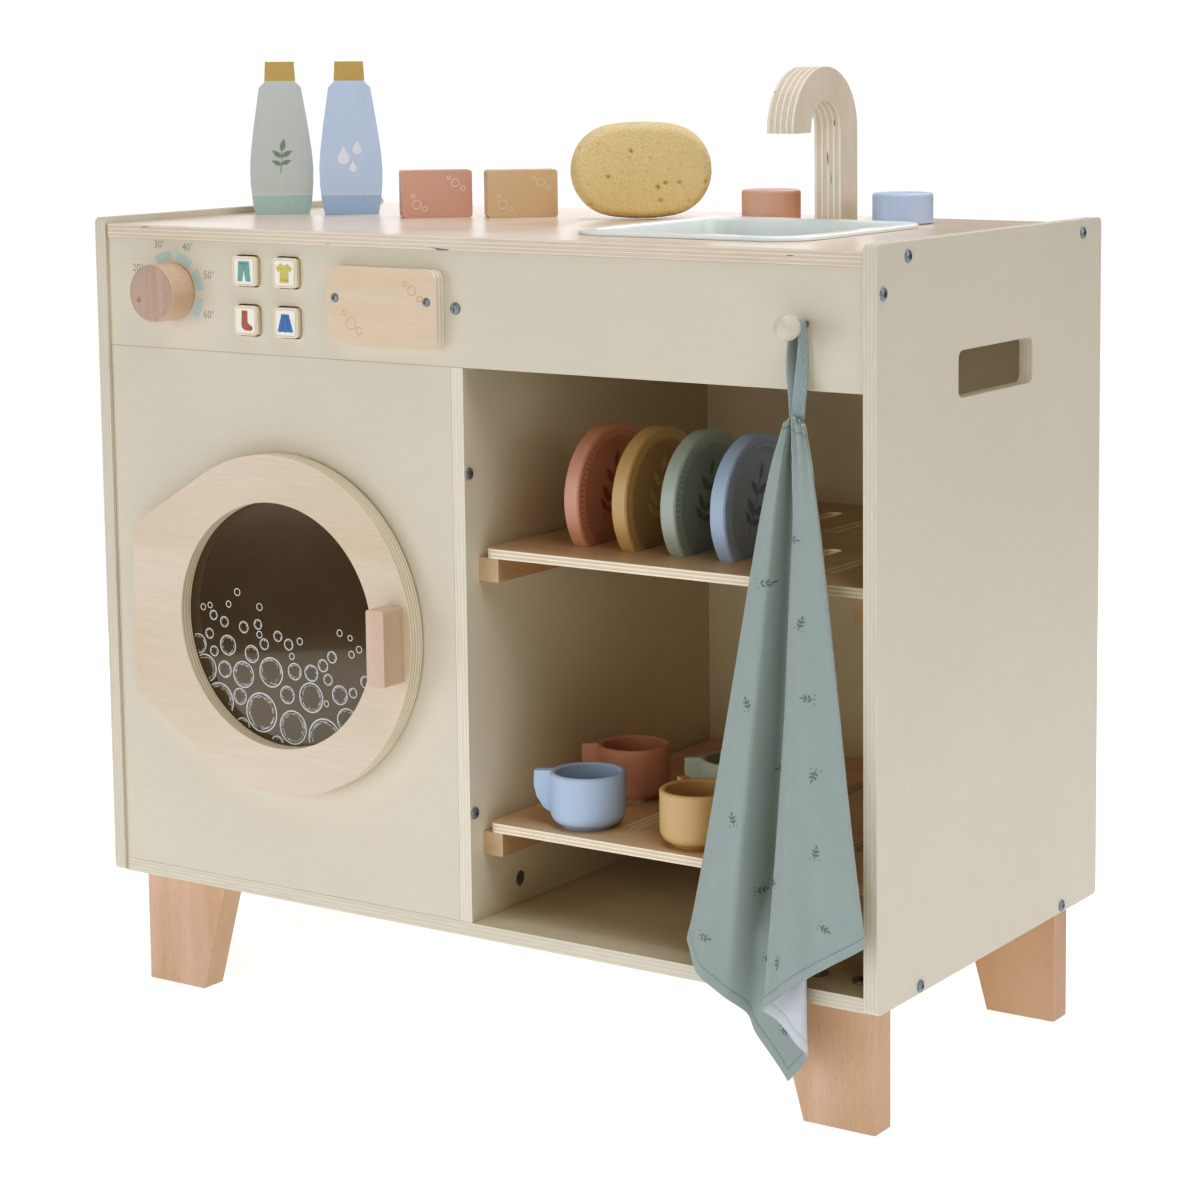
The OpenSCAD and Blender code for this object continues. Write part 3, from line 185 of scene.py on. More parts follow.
class Look:
    """A material on a Principled shader, with short ways to build its nodes. Colours may be given in hex."""

    def __init__(self, name, settings=None):
        self.material = bpy.data.materials.new(name)
        self.material.use_nodes = True
        self.tree = self.material.node_tree
        self.shader = self.tree.nodes["Principled BSDF"]
        self.set(settings or {})
        places = self.add("ShaderNodeTexCoord").outputs
        self.spot, self.upright = places["Object"], places["Normal"]

    def set(self, settings):
        for socket, value in settings.items():
            self.feed(self.shader.inputs[socket], value)

    def feed(self, socket, value):
        """Links an output to a socket, or sets a plain value on it."""
        if isinstance(value, bpy.types.NodeSocket):
            self.tree.links.new(value, socket)
        else:
            socket.default_value = linear(value) if isinstance(value, str) else value

    def add(self, kind, sockets=None, **properties):
        node = self.tree.nodes.new(kind)
        for key, value in properties.items():
            setattr(node, key, value)
        for key, value in (sockets or {}).items():
            self.feed(node.inputs[key], value)
        return node

    def scaled(self, vector, scale):
        return self.add("ShaderNodeMapping", {"Vector": vector, "Scale": scale}).outputs[0]

    def noise(self, scale=1.0, detail=2.0, rough=0.5, distortion=0.0, at=None):
        """Noise in the object's coordinates or in others, from 0 to 1."""
        return self.add("ShaderNodeTexNoise", {"Vector": self.spot if at is None else at, "Scale": scale,
                                               "Detail": detail, "Roughness": rough,
                                               "Distortion": distortion}).outputs[0]

    def streaks(self, across, along, axis, detail=2.0, rough=0.5, distortion=0.0):
        """Noise with its own scale along one axis."""
        scale = [across] * 3
        scale[axis] = along
        return self.noise(1.0, detail, rough, distortion, self.scaled(self.spot, scale))

    def maths(self, operation, a, b=0.0):
        return self.add("ShaderNodeMath", {0: a, 1: b}, operation=operation).outputs[0]

    def product(self, a, b):
        return self.maths("MULTIPLY", a, b)

    def wave(self, value, length):
        return self.maths("SINE", self.product(value, 2 * math.pi / length))

    def span(self, value, low, high, to_low=0.0, to_high=1.0):
        """Maps low..high to to_low..to_high, held at both ends."""
        return self.add("ShaderNodeMapRange", {"Value": value, "From Min": low, "From Max": high,
                                               "To Min": to_low, "To Max": to_high}).outputs[0]

    def mix(self, factor, a, b, blend="MIX"):
        return self.add("ShaderNodeMix", {0: factor, 6: a, 7: b}, data_type="RGBA",
                        blend_type=blend).outputs[2]

    def times(self, colour, value):
        """A colour multiplied by a value."""
        grey = self.add("ShaderNodeCombineColor", {0: value, 1: value, 2: value}).outputs[0]
        return self.mix(1.0, colour, grey, "MULTIPLY")

    def part(self, vector, axis):
        return self.add("ShaderNodeSeparateXYZ", {0: vector}).outputs[axis]

    def facing(self, axis):
        """1 on faces square to an axis, 0 on the others."""
        return self.maths("GREATER_THAN", self.maths("ABSOLUTE", self.part(self.upright, axis)), 0.6)

    def relief(self, height, depth):
        """Bump of a given depth in metres."""
        bump = self.add("ShaderNodeBump", {"Height": height, "Distance": depth, "Strength": 1.0})
        self.feed(self.shader.inputs["Normal"], bump.outputs[0])


def fibres(look, axis, fine=900, long=28):
    """Fine wood fibres along an axis, from 0 to 1."""
    return look.streaks(fine, long, axis, 3.0, 0.62)


def wood_colour(look, axis, light, dark, fine=900, long=28):
    """A wood's colour: its broad soft figure between two tones, with fibres over it."""
    figure = look.streaks(26, 3.2, axis, 2.5, 0.5, 0.6)
    tone = look.mix(look.span(figure, 0.3, 0.72), light, dark)
    return look.times(tone, look.span(fibres(look, axis, fine, long), 0.3, 0.75, 1.03, 0.93))


def layers(look, node, axis, plies, light, dark, glue, grain_axis, voids=0.0):
    """The edge of a plywood board: plies, thin glue lines between them and, if asked for, dark voids."""
    low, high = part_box(node)
    wander = look.span(look.streaks(30, 6, grain_axis), 0.0, 1.0, -0.1, 0.1)
    depth = look.product(look.maths("SUBTRACT", look.part(look.spot, axis), low[axis]),
                         plies / (high[axis] - low[axis]))
    depth = look.maths("ADD", depth, wander)
    odd = look.maths("MODULO", look.maths("FLOOR", look.maths("ADD", depth, 10.0)), 2.0)
    line = look.maths("ABSOLUTE", look.maths("SUBTRACT", depth, look.maths("ROUND", depth)))
    streak = look.span(look.streaks(900, 60, grain_axis, 3.0), 0.3, 0.7, 1.04, 0.93)
    tone = look.times(look.mix(odd, light, dark), streak)
    faint = look.span(look.streaks(40, 12, grain_axis), 0.35, 0.65, 0.25, 0.85)
    tone = look.mix(look.product(look.span(line, 0.05, 0.15, 1.0, 0.0), faint), tone, glue)
    if voids:
        # a void is a short gap in one inner ply
        gap = look.streaks(420, 34, grain_axis, 1.0)
        tone = look.mix(look.span(gap, 0.80 - voids, 0.82 - voids), tone, shade(glue, 0.35))
    return tone


def board(node, axis, grain_axis, face, plies=7, edge=("#E9DCC6", "#CDB594", "#8B6F55"), rough=0.5, coat=0.0,
          voids=0.0, name=None):
    """Finishes a node as clear-varnished plywood: veneer on its faces, plies on its edges."""
    look = Look(name or "birch_" + node, {"Roughness": rough, "Coat Weight": coat, "Coat Roughness": 0.35})
    edges = layers(look, node, axis, plies, *edge, grain_axis, voids)
    look.set({"Base Color": look.mix(look.facing(axis), edges, wood_colour(look, grain_axis, *face))})
    look.relief(fibres(look, grain_axis), 0.00006)
    finish(node, look.material)


def beech(name, axis, light="#DDB08C", dark="#C6936C", end=None):
    """Oiled beech with its short dark flecks. Its end grain, where shown, is darker and pinker."""
    look = Look("beech_" + name, {"Roughness": 0.48})
    colour = wood_colour(look, axis, light, dark, 1100, 45)
    fleck = look.streaks(1500, 230, axis, 1.0)
    colour = look.mix(look.span(fleck, 0.62, 0.72, 0.0, 0.35), colour, shade(dark, 0.62))
    if end:
        across = look.mix(look.span(look.streaks(260, 25, Z), 0.35, 0.65), end, shade(end, 0.86))
        pores = look.span(look.noise(1300), 0.35, 0.7, 1.04, 0.86)
        colour = look.mix(look.facing(axis), colour, look.times(across, pores))
    look.set({"Base Color": colour})
    look.relief(fibres(look, axis, 1100, 45), 0.00005)
    return look.material


def paint(name, colour, axis=Z, rough=0.5, wood=0.05):
    """Satin paint over plywood: roller texture, a hint of the wood's grain, and slight unevenness."""
    look = Look("paint_" + name, {"Specular IOR Level": 0.4})
    cloud = look.span(look.noise(9.0, 3.0), 0.3, 0.7, 1.015, 0.975)
    thread = look.span(fibres(look, axis, 700, 22), 0.3, 0.75, 1 + wood * 0.3, 1 - wood * 0.5)
    look.set({"Base Color": look.times(colour, look.product(cloud, thread)),
              "Roughness": look.span(look.noise(60.0), 0.3, 0.7, rough - 0.05, rough + 0.06)})
    roller = look.product(look.noise(900.0), 0.6)
    look.relief(look.maths("ADD", roller, fibres(look, axis, 500, 16)), 0.00003)
    return look.material


def painted_board(node, axis, colour, grain_axis=Z):
    """Finishes a node as a painted plywood board whose edges show its plies faintly through the paint."""
    look = Look("paint_" + node, {"Specular IOR Level": 0.4})
    cloud = look.span(look.noise(7.0, 3.0), 0.3, 0.7, 1.012, 0.98)
    thread = look.span(fibres(look, grain_axis, 600, 18), 0.3, 0.75, 1.012, 0.978)
    face = look.times(colour, look.product(cloud, thread))
    edge = layers(look, node, axis, 7, *[shade(colour, share) for share in (1.06, 0.965, 0.888)], grain_axis)
    look.set({"Base Color": look.mix(look.facing(axis), edge, face),
              "Roughness": look.span(look.noise(50.0), 0.3, 0.7, 0.46, 0.58)})
    roller = look.product(look.noise(850.0), 0.5)
    look.relief(look.maths("ADD", roller, fibres(look, grain_axis, 450, 14)), 0.00003)
    finish(node, look.material)


def metal(name, colour, rough=0.32, metallic=1.0):
    """Zinc-plated steel with fine handling marks."""
    look = Look(name, {"Metallic": metallic})
    marks = look.noise(700.0, 3.0)
    look.set({"Base Color": look.mix(look.span(marks, 0.35, 0.7), colour, shade(colour, 0.72)),
              "Roughness": look.span(marks, 0.3, 0.7, rough - 0.08, rough + 0.12)})
    look.relief(marks, 0.00001)
    return look.material


def finish(node, material):
    """Gives a CAD node one material on all its slots."""
    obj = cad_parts[node]
    obj.data.materials.clear()
    obj.data.materials.append(material)


def print_ink(name, colour, rough=0.55):
    """Printed ink, a little uneven over the grain below it."""
    look = Look("ink_" + name, {"Roughness": rough})
    uneven = look.span(look.noise(1400.0, 3.0), 0.3, 0.75, 1.03, 0.9)
    look.set({"Base Color": look.times(colour, uneven)})
    return look.material


# -------- finishes of the CAD nodes

# the paint of the side panels and of the front boards, and the same paint made lighter for the inside of the
# bay: painted light against the shade that falls there
PAINT = "#D1C8B8"
FASCIA = "#D3CBB9"
INSIDE_PAINTED_LIGHTER = "#DED5C4"


def finish_cabinet():
    # the divider and the back panel take the inside paint, made lighter as painted light
    for node, tone in (("side_panel_left", PAINT), ("side_panel_right", PAINT), ("divider_panel", INSIDE_PAINTED_LIGHTER)):
        painted_board(node, X, tone)
    for node, tone in (("control_panel", FASCIA), ("washer_front", FASCIA), ("back_panel", INSIDE_PAINTED_LIGHTER)):
        painted_board(node, Y, tone, X)
    painted_board("bottom_board", Z, FASCIA, X)
    board("worktop", Z, X, ("#E9D8CA", "#DEC7AF"), 7, ("#DCCDB8", "#CDBBA5", "#8A7260"), 0.3, 0.4, 0.06)
    for node in ("shelf_upper", "shelf_lower"):
        board(node, Z, X, ("#E0C4AB", "#D0AE92"), 5, ("#F1E6D3", "#DCC8AC", "#B79F82"), 0.45, 0.1)
    for node in ("leg_front_left", "leg_front_right", "leg_rear_left", "leg_rear_right"):
        # the rear right leg takes darker tones: painted shade, for the shadow it stands in
        tones = ("#C59E86", "#AF8467") if node == "leg_rear_right" else ("#D2AE98", "#BF977A")
        finish(node, beech(node, Z, *tones))
    finish("shelf_rails", beech("rails", Y, "#C9AF95", "#B09073"))
    finish("peg_ball", paint("peg", "#CEC5B5", rough=0.32, wood=0.02))
    steel = metal("steel", "#A4AAAE")
    for node in ("leg_bolts", "divider_fixings", "peg_stem", "hinge_frame_leaf", "hinge_pin", "catch_plate",
                 "knob_axles", "door_hinge_leaf", "door_magnet"):
        finish(node, steel)
    screw_steel = metal("steel_screws", "#8793A0", 0.42, 0.55)
    for node in ("cabinet_screws", "door_screws", "drawer_screws"):
        finish(node, screw_steel)
    finish("button_springs", metal("steel_springs", "#A7ABAE", 0.25))
    for node in ("drawer_guides", "button_backboard", "drawer_tray"):
        board(node, Z, X, ("#E6D2B2", "#D7BE98"), 9, rough=0.7, name="raw_" + node)


def finish_door():
    board("door_ring", Y, X, ("#D8C8B6", "#CFBBA2"), 9, ("#EFE6D6", "#D8C5A8", "#A98F72"), 0.45, 0.1)
    look = Look("tinted_acrylic", {"Roughness": 0.12, "Alpha": 0.94, "Coat Weight": 0.6,
                                   "Coat Roughness": 0.03, "IOR": 1.49})
    look.set({"Base Color": look.mix(look.span(look.noise(14.0, 3.0), 0.3, 0.7), "#4A3F35", "#42372D")})
    finish("door_window", look.material)
    finish("door_handle", beech("handle", Z, "#D5BBA8", "#C5A894"))


BUTTONS = ("button_top_left", "button_top_right", "button_bottom_left", "button_bottom_right")


def finish_controls():
    finish("dial_knob", beech("dial", Y, "#DEC0A9", "#CEAA95", "#BE9F91"))
    board("drawer_front", Y, X, ("#DFCAB3", "#D6BEA1"), 5, ("#F4ECDF", "#E4D3BC", "#C3AC90"), 0.45, 0.1)
    for node in BUTTONS:
        board(node, Y, X, ("#EFE4D0", "#E6D6BC"), 8, ("#F1E8D8", "#DCCCB2", "#B39C80"))


def finish_sink():
    board("tap_spout", X, Z, ("#EDDDCC", "#E2CEB9"), 9, ("#F3EADC", "#E3D2BC", "#A78C70"), voids=0.07,
          name="birch_tap")
    finish("tap_dowel", beech("dowel", Z))
    finish("tap_knob_hot", paint("hot", "#E1B09F", rough=0.42))
    finish("tap_knob_cold", paint("cold", "#BAC8E3", rough=0.42))


def banded(node, body, foot):
    """Paint in three bands up a bottle: foot, body and cap."""
    look = Look("paint_" + node, {"Specular IOR Level": 0.4, "Roughness": 0.5})
    low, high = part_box(node)
    level = look.maths("DIVIDE", look.maths("SUBTRACT", look.part(look.spot, Z), low[Z]), high[Z] - low[Z])
    colour = look.mix(look.maths("GREATER_THAN", level, 0.125), foot, body)
    colour = look.mix(look.maths("GREATER_THAN", level, 0.875), colour, "#C0A36E")
    look.set({"Base Color": look.times(colour, look.span(fibres(look, Z, 600, 20), 0.3, 0.75, 1.015, 0.965))})
    look.relief(fibres(look, Z, 500, 16), 0.00003)
    return look.material


def finish_play_pieces():
    finish("bottle_green", banded("bottle_green", "#C2CAC7", "#ABC4C3"))
    finish("bottle_blue", banded("bottle_blue", "#BDD1EC", "#A3BFE0"))
    finish("soap_pink", paint("soap_pink", "#D5A598", X, 0.45))
    finish("soap_ochre", paint("soap_ochre", "#DEBE9F", X, 0.45))
    for tone, colour in (("terracotta", "#D29D8E"), ("ochre", "#C8A67D"), ("sage", "#AAB5AE"),
                         ("blue", "#A9BED8")):
        for node in ("plate_" + tone, "cup_" + tone):
            finish(node, paint(node, colour, Z, 0.45))


# -------- prints


class Print:
    """Flat printed shapes that lie just in front of a face, drawn in millimetres round a point on it.

    right is the drawing's direction to the right; it is drawn upright and looks out of the face."""

    LIFT = 0.04 * MM

    def __init__(self, name, origin, body, right=(1, 0, 0)):
        self.name, self.body = name, body
        self.origin, self.right, self.up = Vector(origin), Vector(right), Vector((0, 0, 1))
        self.out = self.right.cross(self.up)
        self.points, self.faces, self.inks, self.materials = [], [], [], []

    def put(self, outline, layer=0):
        """Adds an outline's points and gives the number of the first."""
        start = self.origin + self.out * self.LIFT * (1 + layer)
        self.points += [start + self.right * x * MM + self.up * z * MM for x, z in outline]
        return len(self.points) - len(outline)

    def fill(self, corners, ink):
        if ink not in self.materials:
            self.materials.append(ink)
        self.faces.append(tuple(corners))
        self.inks.append(self.materials.index(ink))

    def shape(self, outline, ink, layer=0):
        """A filled outline in one ink; a higher layer lies on top."""
        start = self.put(outline, layer)
        self.fill(range(start, start + len(outline)), ink)

    def strip(self, outer, inner, ink, layer=0, closed=False):
        """The band between two outlines with as many points."""
        start, n = self.put([*outer, *inner], layer), len(outer)
        for i in range(n if closed else n - 1):
            k = (i + 1) % n
            self.fill((start + i, start + k, start + n + k, start + n + i), ink)

    def line(self, points, width, ink, layer=0):
        self.strip(*stroke(points, width), ink, layer)

    def ring(self, x, z, radius, width, ink):
        self.strip(circle(x, z, radius), circle(x, z, radius - width), ink, closed=True)

    def make(self):
        obj = mesh_object(self.name, self.points, self.faces, *self.materials)
        obj.data.polygons.foreach_set("material_index", self.inks)
        # every face looks outwards
        for polygon in obj.data.polygons:
            if polygon.normal.dot(self.out) < 0:
                polygon.flip()
        obj.data.update()
        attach(obj, self.body)


def polar(cx, cz, radius, angle):
    """The point at some degrees on a circle."""
    return cx + radius * math.cos(math.radians(angle)), cz + radius * math.sin(math.radians(angle))


def circle(cx, cz, radius, n=24):
    return arc(cx, cz, radius, 0, 360, n)[:-1]


def arc(cx, cz, radius, start, end, n=10):
    """Points along an arc between two angles in degrees."""
    return [polar(cx, cz, radius, start + (end - start) * i / n) for i in range(n + 1)]


def round_box(cx, cz, width, height, radius, n=6):
    """A rectangle with round corners."""
    corners = [(width / 2 - radius, height / 2 - radius, 0), (radius - width / 2, height / 2 - radius, 90),
               (radius - width / 2, radius - height / 2, 180), (width / 2 - radius, radius - height / 2, 270)]
    return [p for x, z, a in corners for p in arc(cx + x, cz + z, radius, a, a + 90, n)]


def leaf(cx, cz, length, width, angle, n=8):
    """A pointed leaf from its foot at (cx, cz)."""
    ax, az = polar(0, 0, 1, angle)
    half = [(t / n, math.sin(math.pi * (t / n) ** 0.8)) for t in range(n + 1)]
    half += [(t, -w) for t, w in half[-2:0:-1]]
    outline = [(t * length, w * width / 2) for t, w in half]
    return [(cx + ax * a - az * b, cz + az * a + ax * b) for a, b in outline]


def stroke(points, width):
    """Both sides of a line of a given width."""
    left, right = [], []
    for i, (x, z) in enumerate(points):
        (ax, az), (bx, bz) = points[max(i - 1, 0)], points[min(i + 1, len(points) - 1)]
        half = width / 2 / math.hypot(bx - ax, bz - az)
        nx, nz = (az - bz) * half, (bx - ax) * half
        left.append((x + nx, z + nz))
        right.append((x - nx, z - nz))
    return left, right


def front_of(node):
    """The middle of a node's front face."""
    spot = middle(node)
    spot.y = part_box(node)[0][Y]
    return spot


def write(label, text, x, z, height, ink):
    """Adds a short text to a print, centred on a place in millimetres."""
    curve = bpy.data.curves.new("number", "FONT")
    curve.body, curve.size, curve.resolution_u = text, height * MM, 3
    curve.align_x, curve.align_y = "CENTER", "CENTER"
    holder = bpy.data.objects.new("number", curve)
    bpy.context.scene.collection.objects.link(holder)
    bpy.context.view_layer.update()
    mesh = bpy.data.meshes.new_from_object(holder)
    start = label.put([(x + v.co.x / MM, z + v.co.y / MM) for v in mesh.vertices])
    for polygon in mesh.polygons:
        label.fill([start + i for i in polygon.vertices], ink)
    bpy.data.objects.remove(holder)
    bpy.data.curves.remove(curve)
    bpy.data.meshes.remove(mesh)


def make_dial_scale():
    """Six ring segments round the dial with a plain number at each."""
    origin = middle("dial_knob")
    origin.y = front_of("control_panel").y
    scale, numbers = Print("dial_scale", origin, "cabinet"), Print("dial_numbers", origin, "cabinet")
    blue, grey = print_ink("scale", "#B3C9C3"), print_ink("numbers", "#8F8B80")
    inner, outer, half = 20.6, 26.8, 16.5
    for step, label in enumerate(("60", "50", "40", "30", "20", "10")):
        angle = -25 + 45 * step
        start, end = angle - half, angle + half
        scale.strip(arc(0, 0, outer, start, end), arc(0, 0, inner, start, end), blue)
        # the numbers over the top stand a little nearer
        write(numbers, label + "°", *polar(0, 0, 32.5 if 40 < angle < 130 else 34, angle), 7.0, grey)
    scale.make()
    numbers.make()


# the garments' outlines in millimetres, before they are enlarged
TROUSERS = ((-3.7, 5.4), (3.7, 5.4), (4.6, -5.4), (1.2, -5.4), (0, 0.6), (-1.2, -5.4), (-4.6, -5.4))
SHIRT = ((-2, 5.2), (-1.2, 4.4), (0, 4.1), (1.2, 4.4), (2, 5.2), (5.6, 2.8), (4.3, 0.4), (3, 1.3),
         (3.1, -5.2), (-3.1, -5.2), (-3, 1.3), (-4.3, 0.4), (-5.6, 2.8))
SOCK = ((-2.2, 5.4), (1.8, 5.4), (1.8, -0.8), (3.2, -2), (5, -3), (5.1, -4.8), (3.9, -5.4), (-0.4, -5.2),
        (-2.1, -4), (-2.6, -2.2))
SKIRT = ((-2.6, 4.6), (2.6, 4.6), (3.2, 2.4), (5.4, -4.6), (3.6, -5.1), (1.8, -4.7), (0, -5.2), (-1.8, -4.7),
         (-3.6, -5.1), (-5.4, -4.6), (-3.2, 2.4))
GARMENT = 1.22
WINDOW_RADIUS = 80.0


def make_button_faces():
    """A white label with a garment on each push button."""
    white, line = print_ink("label", "#F1EEE6"), print_ink("label_line", "#B9A58D")
    garments = (
        (TROUSERS, "#6FA59D", (((-3.8, 4), (3.8, 4)), ((0, 4), (0, 0.6)))),
        (SHIRT, "#CDBE6C", (((-3, -3.6), (3, -3.6)), ((-2.2, 1.9), (-1, 1.9)))),
        (SOCK, "#A85F54", (((-2.2, 3.9), (1.8, 3.9)), ((1.6, -4), (4.8, -3.6)))),
        (SKIRT, "#3F76AE", (((-2.8, 3.2), (2.8, 3.2)), ((-1.2, 2.6), (-2.2, -4.4)),
                            ((1.2, 2.6), (2.2, -4.4)))),
    )
    for node, (outline, colour, seams) in zip(BUTTONS, garments):
        side = size(node).x / MM - 7
        label = Print(node + "_label", front_of(node), node)
        outer, inner, field = (round_box(0, 0, side - less, side - less, radius)
                               for less, radius in ((1.9, 2.4), (2.4, 2.2), (3.6, 1.6)))
        label.strip(outer, inner, line, closed=True)
        label.shape(field, white)
        label.shape([(x * GARMENT, z * GARMENT) for x, z in outline], print_ink(node, colour), 1)
        darker = "".join("%02X" % int(int(colour[i:i + 2], 16) * 0.72) for i in (1, 3, 5))
        dark = print_ink("seam_" + node, "#" + darker)
        for points in seams:
            label.line([(x * GARMENT, z * GARMENT) for x, z in points], 0.45, dark, 2)
        label.make()


def make_drawer_bubbles():
    """Small engraved bubbles on the drawer front."""
    ink = print_ink("engraving", "#C9A47F", 0.7)
    bubbles = Print("drawer_bubbles", front_of("drawer_front"), "drawer")
    for x, z, r in ((-24, -11, 4.2), (-17.5, -15.5, 2.6), (-29, -4.5, 2.0), (25, 11.5, 3.4), (31, 6.5, 2.2),
                    (19.5, 15.5, 1.8)):
        bubbles.ring(x, z, r, 0.55, ink)
        bubbles.strip(arc(x, z, r * 0.62, 110, 160, 5), arc(x, z, r * 0.62 - 0.4, 110, 160, 5), ink)
    bubbles.make()


def make_window_bubbles():
    """Foam bubbles printed on the window: thick at the lower left, thin and small higher up."""
    dice = random.Random(7)
    ink = print_ink("foam", "#C9CDD2")
    foam = Print("window_foam", front_of("door_window"), "door")
    placed = []

    def fits(x, z, r):
        inside = math.hypot(x, z) < WINDOW_RADIUS + r * 0.35
        return inside and all(math.hypot(x - a, z - b) > r + c + 0.4 for a, b, c in placed)

    for radius, count, top in ((13.0, 9, -44), (9.5, 12, -26), (6.4, 12, -12), (4.0, 14, 2), (2.4, 14, 22)):
        done = tries = 0
        while done < count and tries < 900:
            tries += 1
            r = radius * dice.uniform(0.86, 1.12)
            x, z = dice.uniform(-82, 82), dice.uniform(-82, top)
            # the foam's top slopes down to the right
            if z > top - 0.24 * (x + 40) or not fits(x, z, r):
                continue
            placed.append((x, z, r))
            done += 1
    for x, z, r in placed:
        bubble(foam, x, z, r, ink, dice)
    foam.make()


def bubble(foam, x, z, r, ink, dice):
    """A bubble: an outline and, in larger ones, short loose strokes inside it."""
    def draw(radius, width, start, end, n):
        """A piece of arc, left out where it would cross the window's ring."""
        outer = arc(x, z, radius, start, end, n)
        if all(math.hypot(a, b) < WINDOW_RADIUS for a, b in outer):
            foam.strip(outer, arc(x, z, radius - width, start, end, n), ink)

    width = 0.55 + 0.03 * r
    n = max(16, int(r * 4))
    for i in range(n):
        draw(r, width, 360 * i / n, 360 * (i + 1) / n, 1)
    if r < 3.2:
        return
    for _ in range(int(r * 5)):
        angle, depth = dice.uniform(0, 360), dice.uniform(0.08, 0.26) * r
        length, thin = dice.uniform(8, 26), dice.uniform(0.16, 0.34)
        draw(r - width - depth * dice.uniform(0.3, 1.0), thin, angle, angle + length, 3)


def turned(angle):
    """The directions to the right and out of a loose piece that stands turned about Z by some degrees."""
    x, y = polar(0, 0, 1, angle)
    return Vector((x, y, 0)), Vector((y, -x, 0))


def turned_print(node, angle, thickness):
    """A print on the front face of a turned piece."""
    right, out = turned(angle)
    return Print(node + "_print", middle(node) + out * thickness / 2 * MM, node, right)


def make_bottle_prints():
    """A sprig on the green bottle, drops on the blue one, and a fine line over each foot band."""
    grey, pale = print_ink("sprig", "#7F9187"), print_ink("pale", "#E6EAF2")
    for node, tone in (("bottle_green", "#DDE3D8"), ("bottle_blue", "#DCE4F2")):
        label = turned_print(node, 40, 14)
        line = print_ink("line_" + node, tone)
        foot = -size(node).z / MM / 2
        for z in (foot + 13.425, foot + 14.625):
            label.line([(-20, z), (20, z)], 0.35, line)
        if node == "bottle_green":
            label.line([(-1, -24), (0.4, -17), (0.2, -8)], 0.7, grey)
            for x, z, length, angle in ((0.2, -9, 9, 78), (0.3, -13, 8.5, 32), (0.2, -13.5, 8.5, 142),
                                        (0, -18, 7.5, 22), (0, -18.5, 7.5, 156)):
                label.shape(leaf(x, z, length, length * 0.42, angle), grey, 1)
        else:
            for x, z, r in ((-5, -14, 4.2), (4.5, -8, 3.2), (1.5, -21, 2.6)):
                label.shape([*arc(x, z, r, -220, 40, 16), (x, z + r * 2)], pale)
        label.make()


def make_soap_bubbles():
    """A few bubbles printed on each soap bar."""
    ink = print_ink("soap", "#F0DCCB")
    for node in ("soap_pink", "soap_ochre"):
        label = turned_print(node, 44, 20)
        for x, z, r in ((-14, -7, 3.2), (-8.6, -10, 1.8), (-16.5, -1.2, 1.5), (12.5, 7.5, 2.8),
                        (17.5, 3.6, 1.7), (8, 11, 1.3)):
            label.ring(x, z, r, 0.5, ink)
        label.make()


def make_plate_prints():
    """A plain border and a sprig on the face of each plate."""
    for tone, colour in (("terracotta", "#A9614A"), ("ochre", "#E3C58A"), ("sage", "#7C8B84"),
                         ("blue", "#7F8FB3")):
        node = "plate_" + tone
        ink = print_ink(node, colour)
        face = middle(node)
        face.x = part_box(node)[1][X]
        rim = Print(node + "_border", face, node, (0, 1, 0))
        if tone in ("terracotta", "sage"):
            for i in range(72):
                rim.line([polar(0, 0, r, 5 * i) for r in (38.6, 42.2)], 0.6, ink)
        else:
            for i in range(60):
                rim.shape(circle(*polar(0, 0, 40.4, 6 * i), 0.65, 8), ink)
        rim.make()
        # the well lies 5 mm below the rim
        well = Print(node + "_motif", face - Vector((5 * MM, 0, 0)), node, (0, 1, 0))
        well.line([(-10, -16), (-3, -4), (2, 8), (4, 17)], 0.9, ink)
        for x, z, length, angle in ((4, 16, 12, 74), (2, 8, 13, 20), (1.6, 7, 13, 128), (-3, -4, 14, 10),
                                    (-3.4, -5, 14, 120), (-6, -10, 11, 0), (-6.4, -10, 11, 128)):
            well.shape(leaf(x, z, length, length * 0.4, angle), ink, 1)
        well.make()


# -------- sink basin


def bend(start, corner, end, n=6):
    """A smooth bend from start to end round a corner, as pairs of inset and height."""
    return [tuple((1 - t) ** 2 * s + 2 * t * (1 - t) * c + t * t * e for s, c, e in zip(start, corner, end))
            for t in (i / n for i in range(n + 1))]


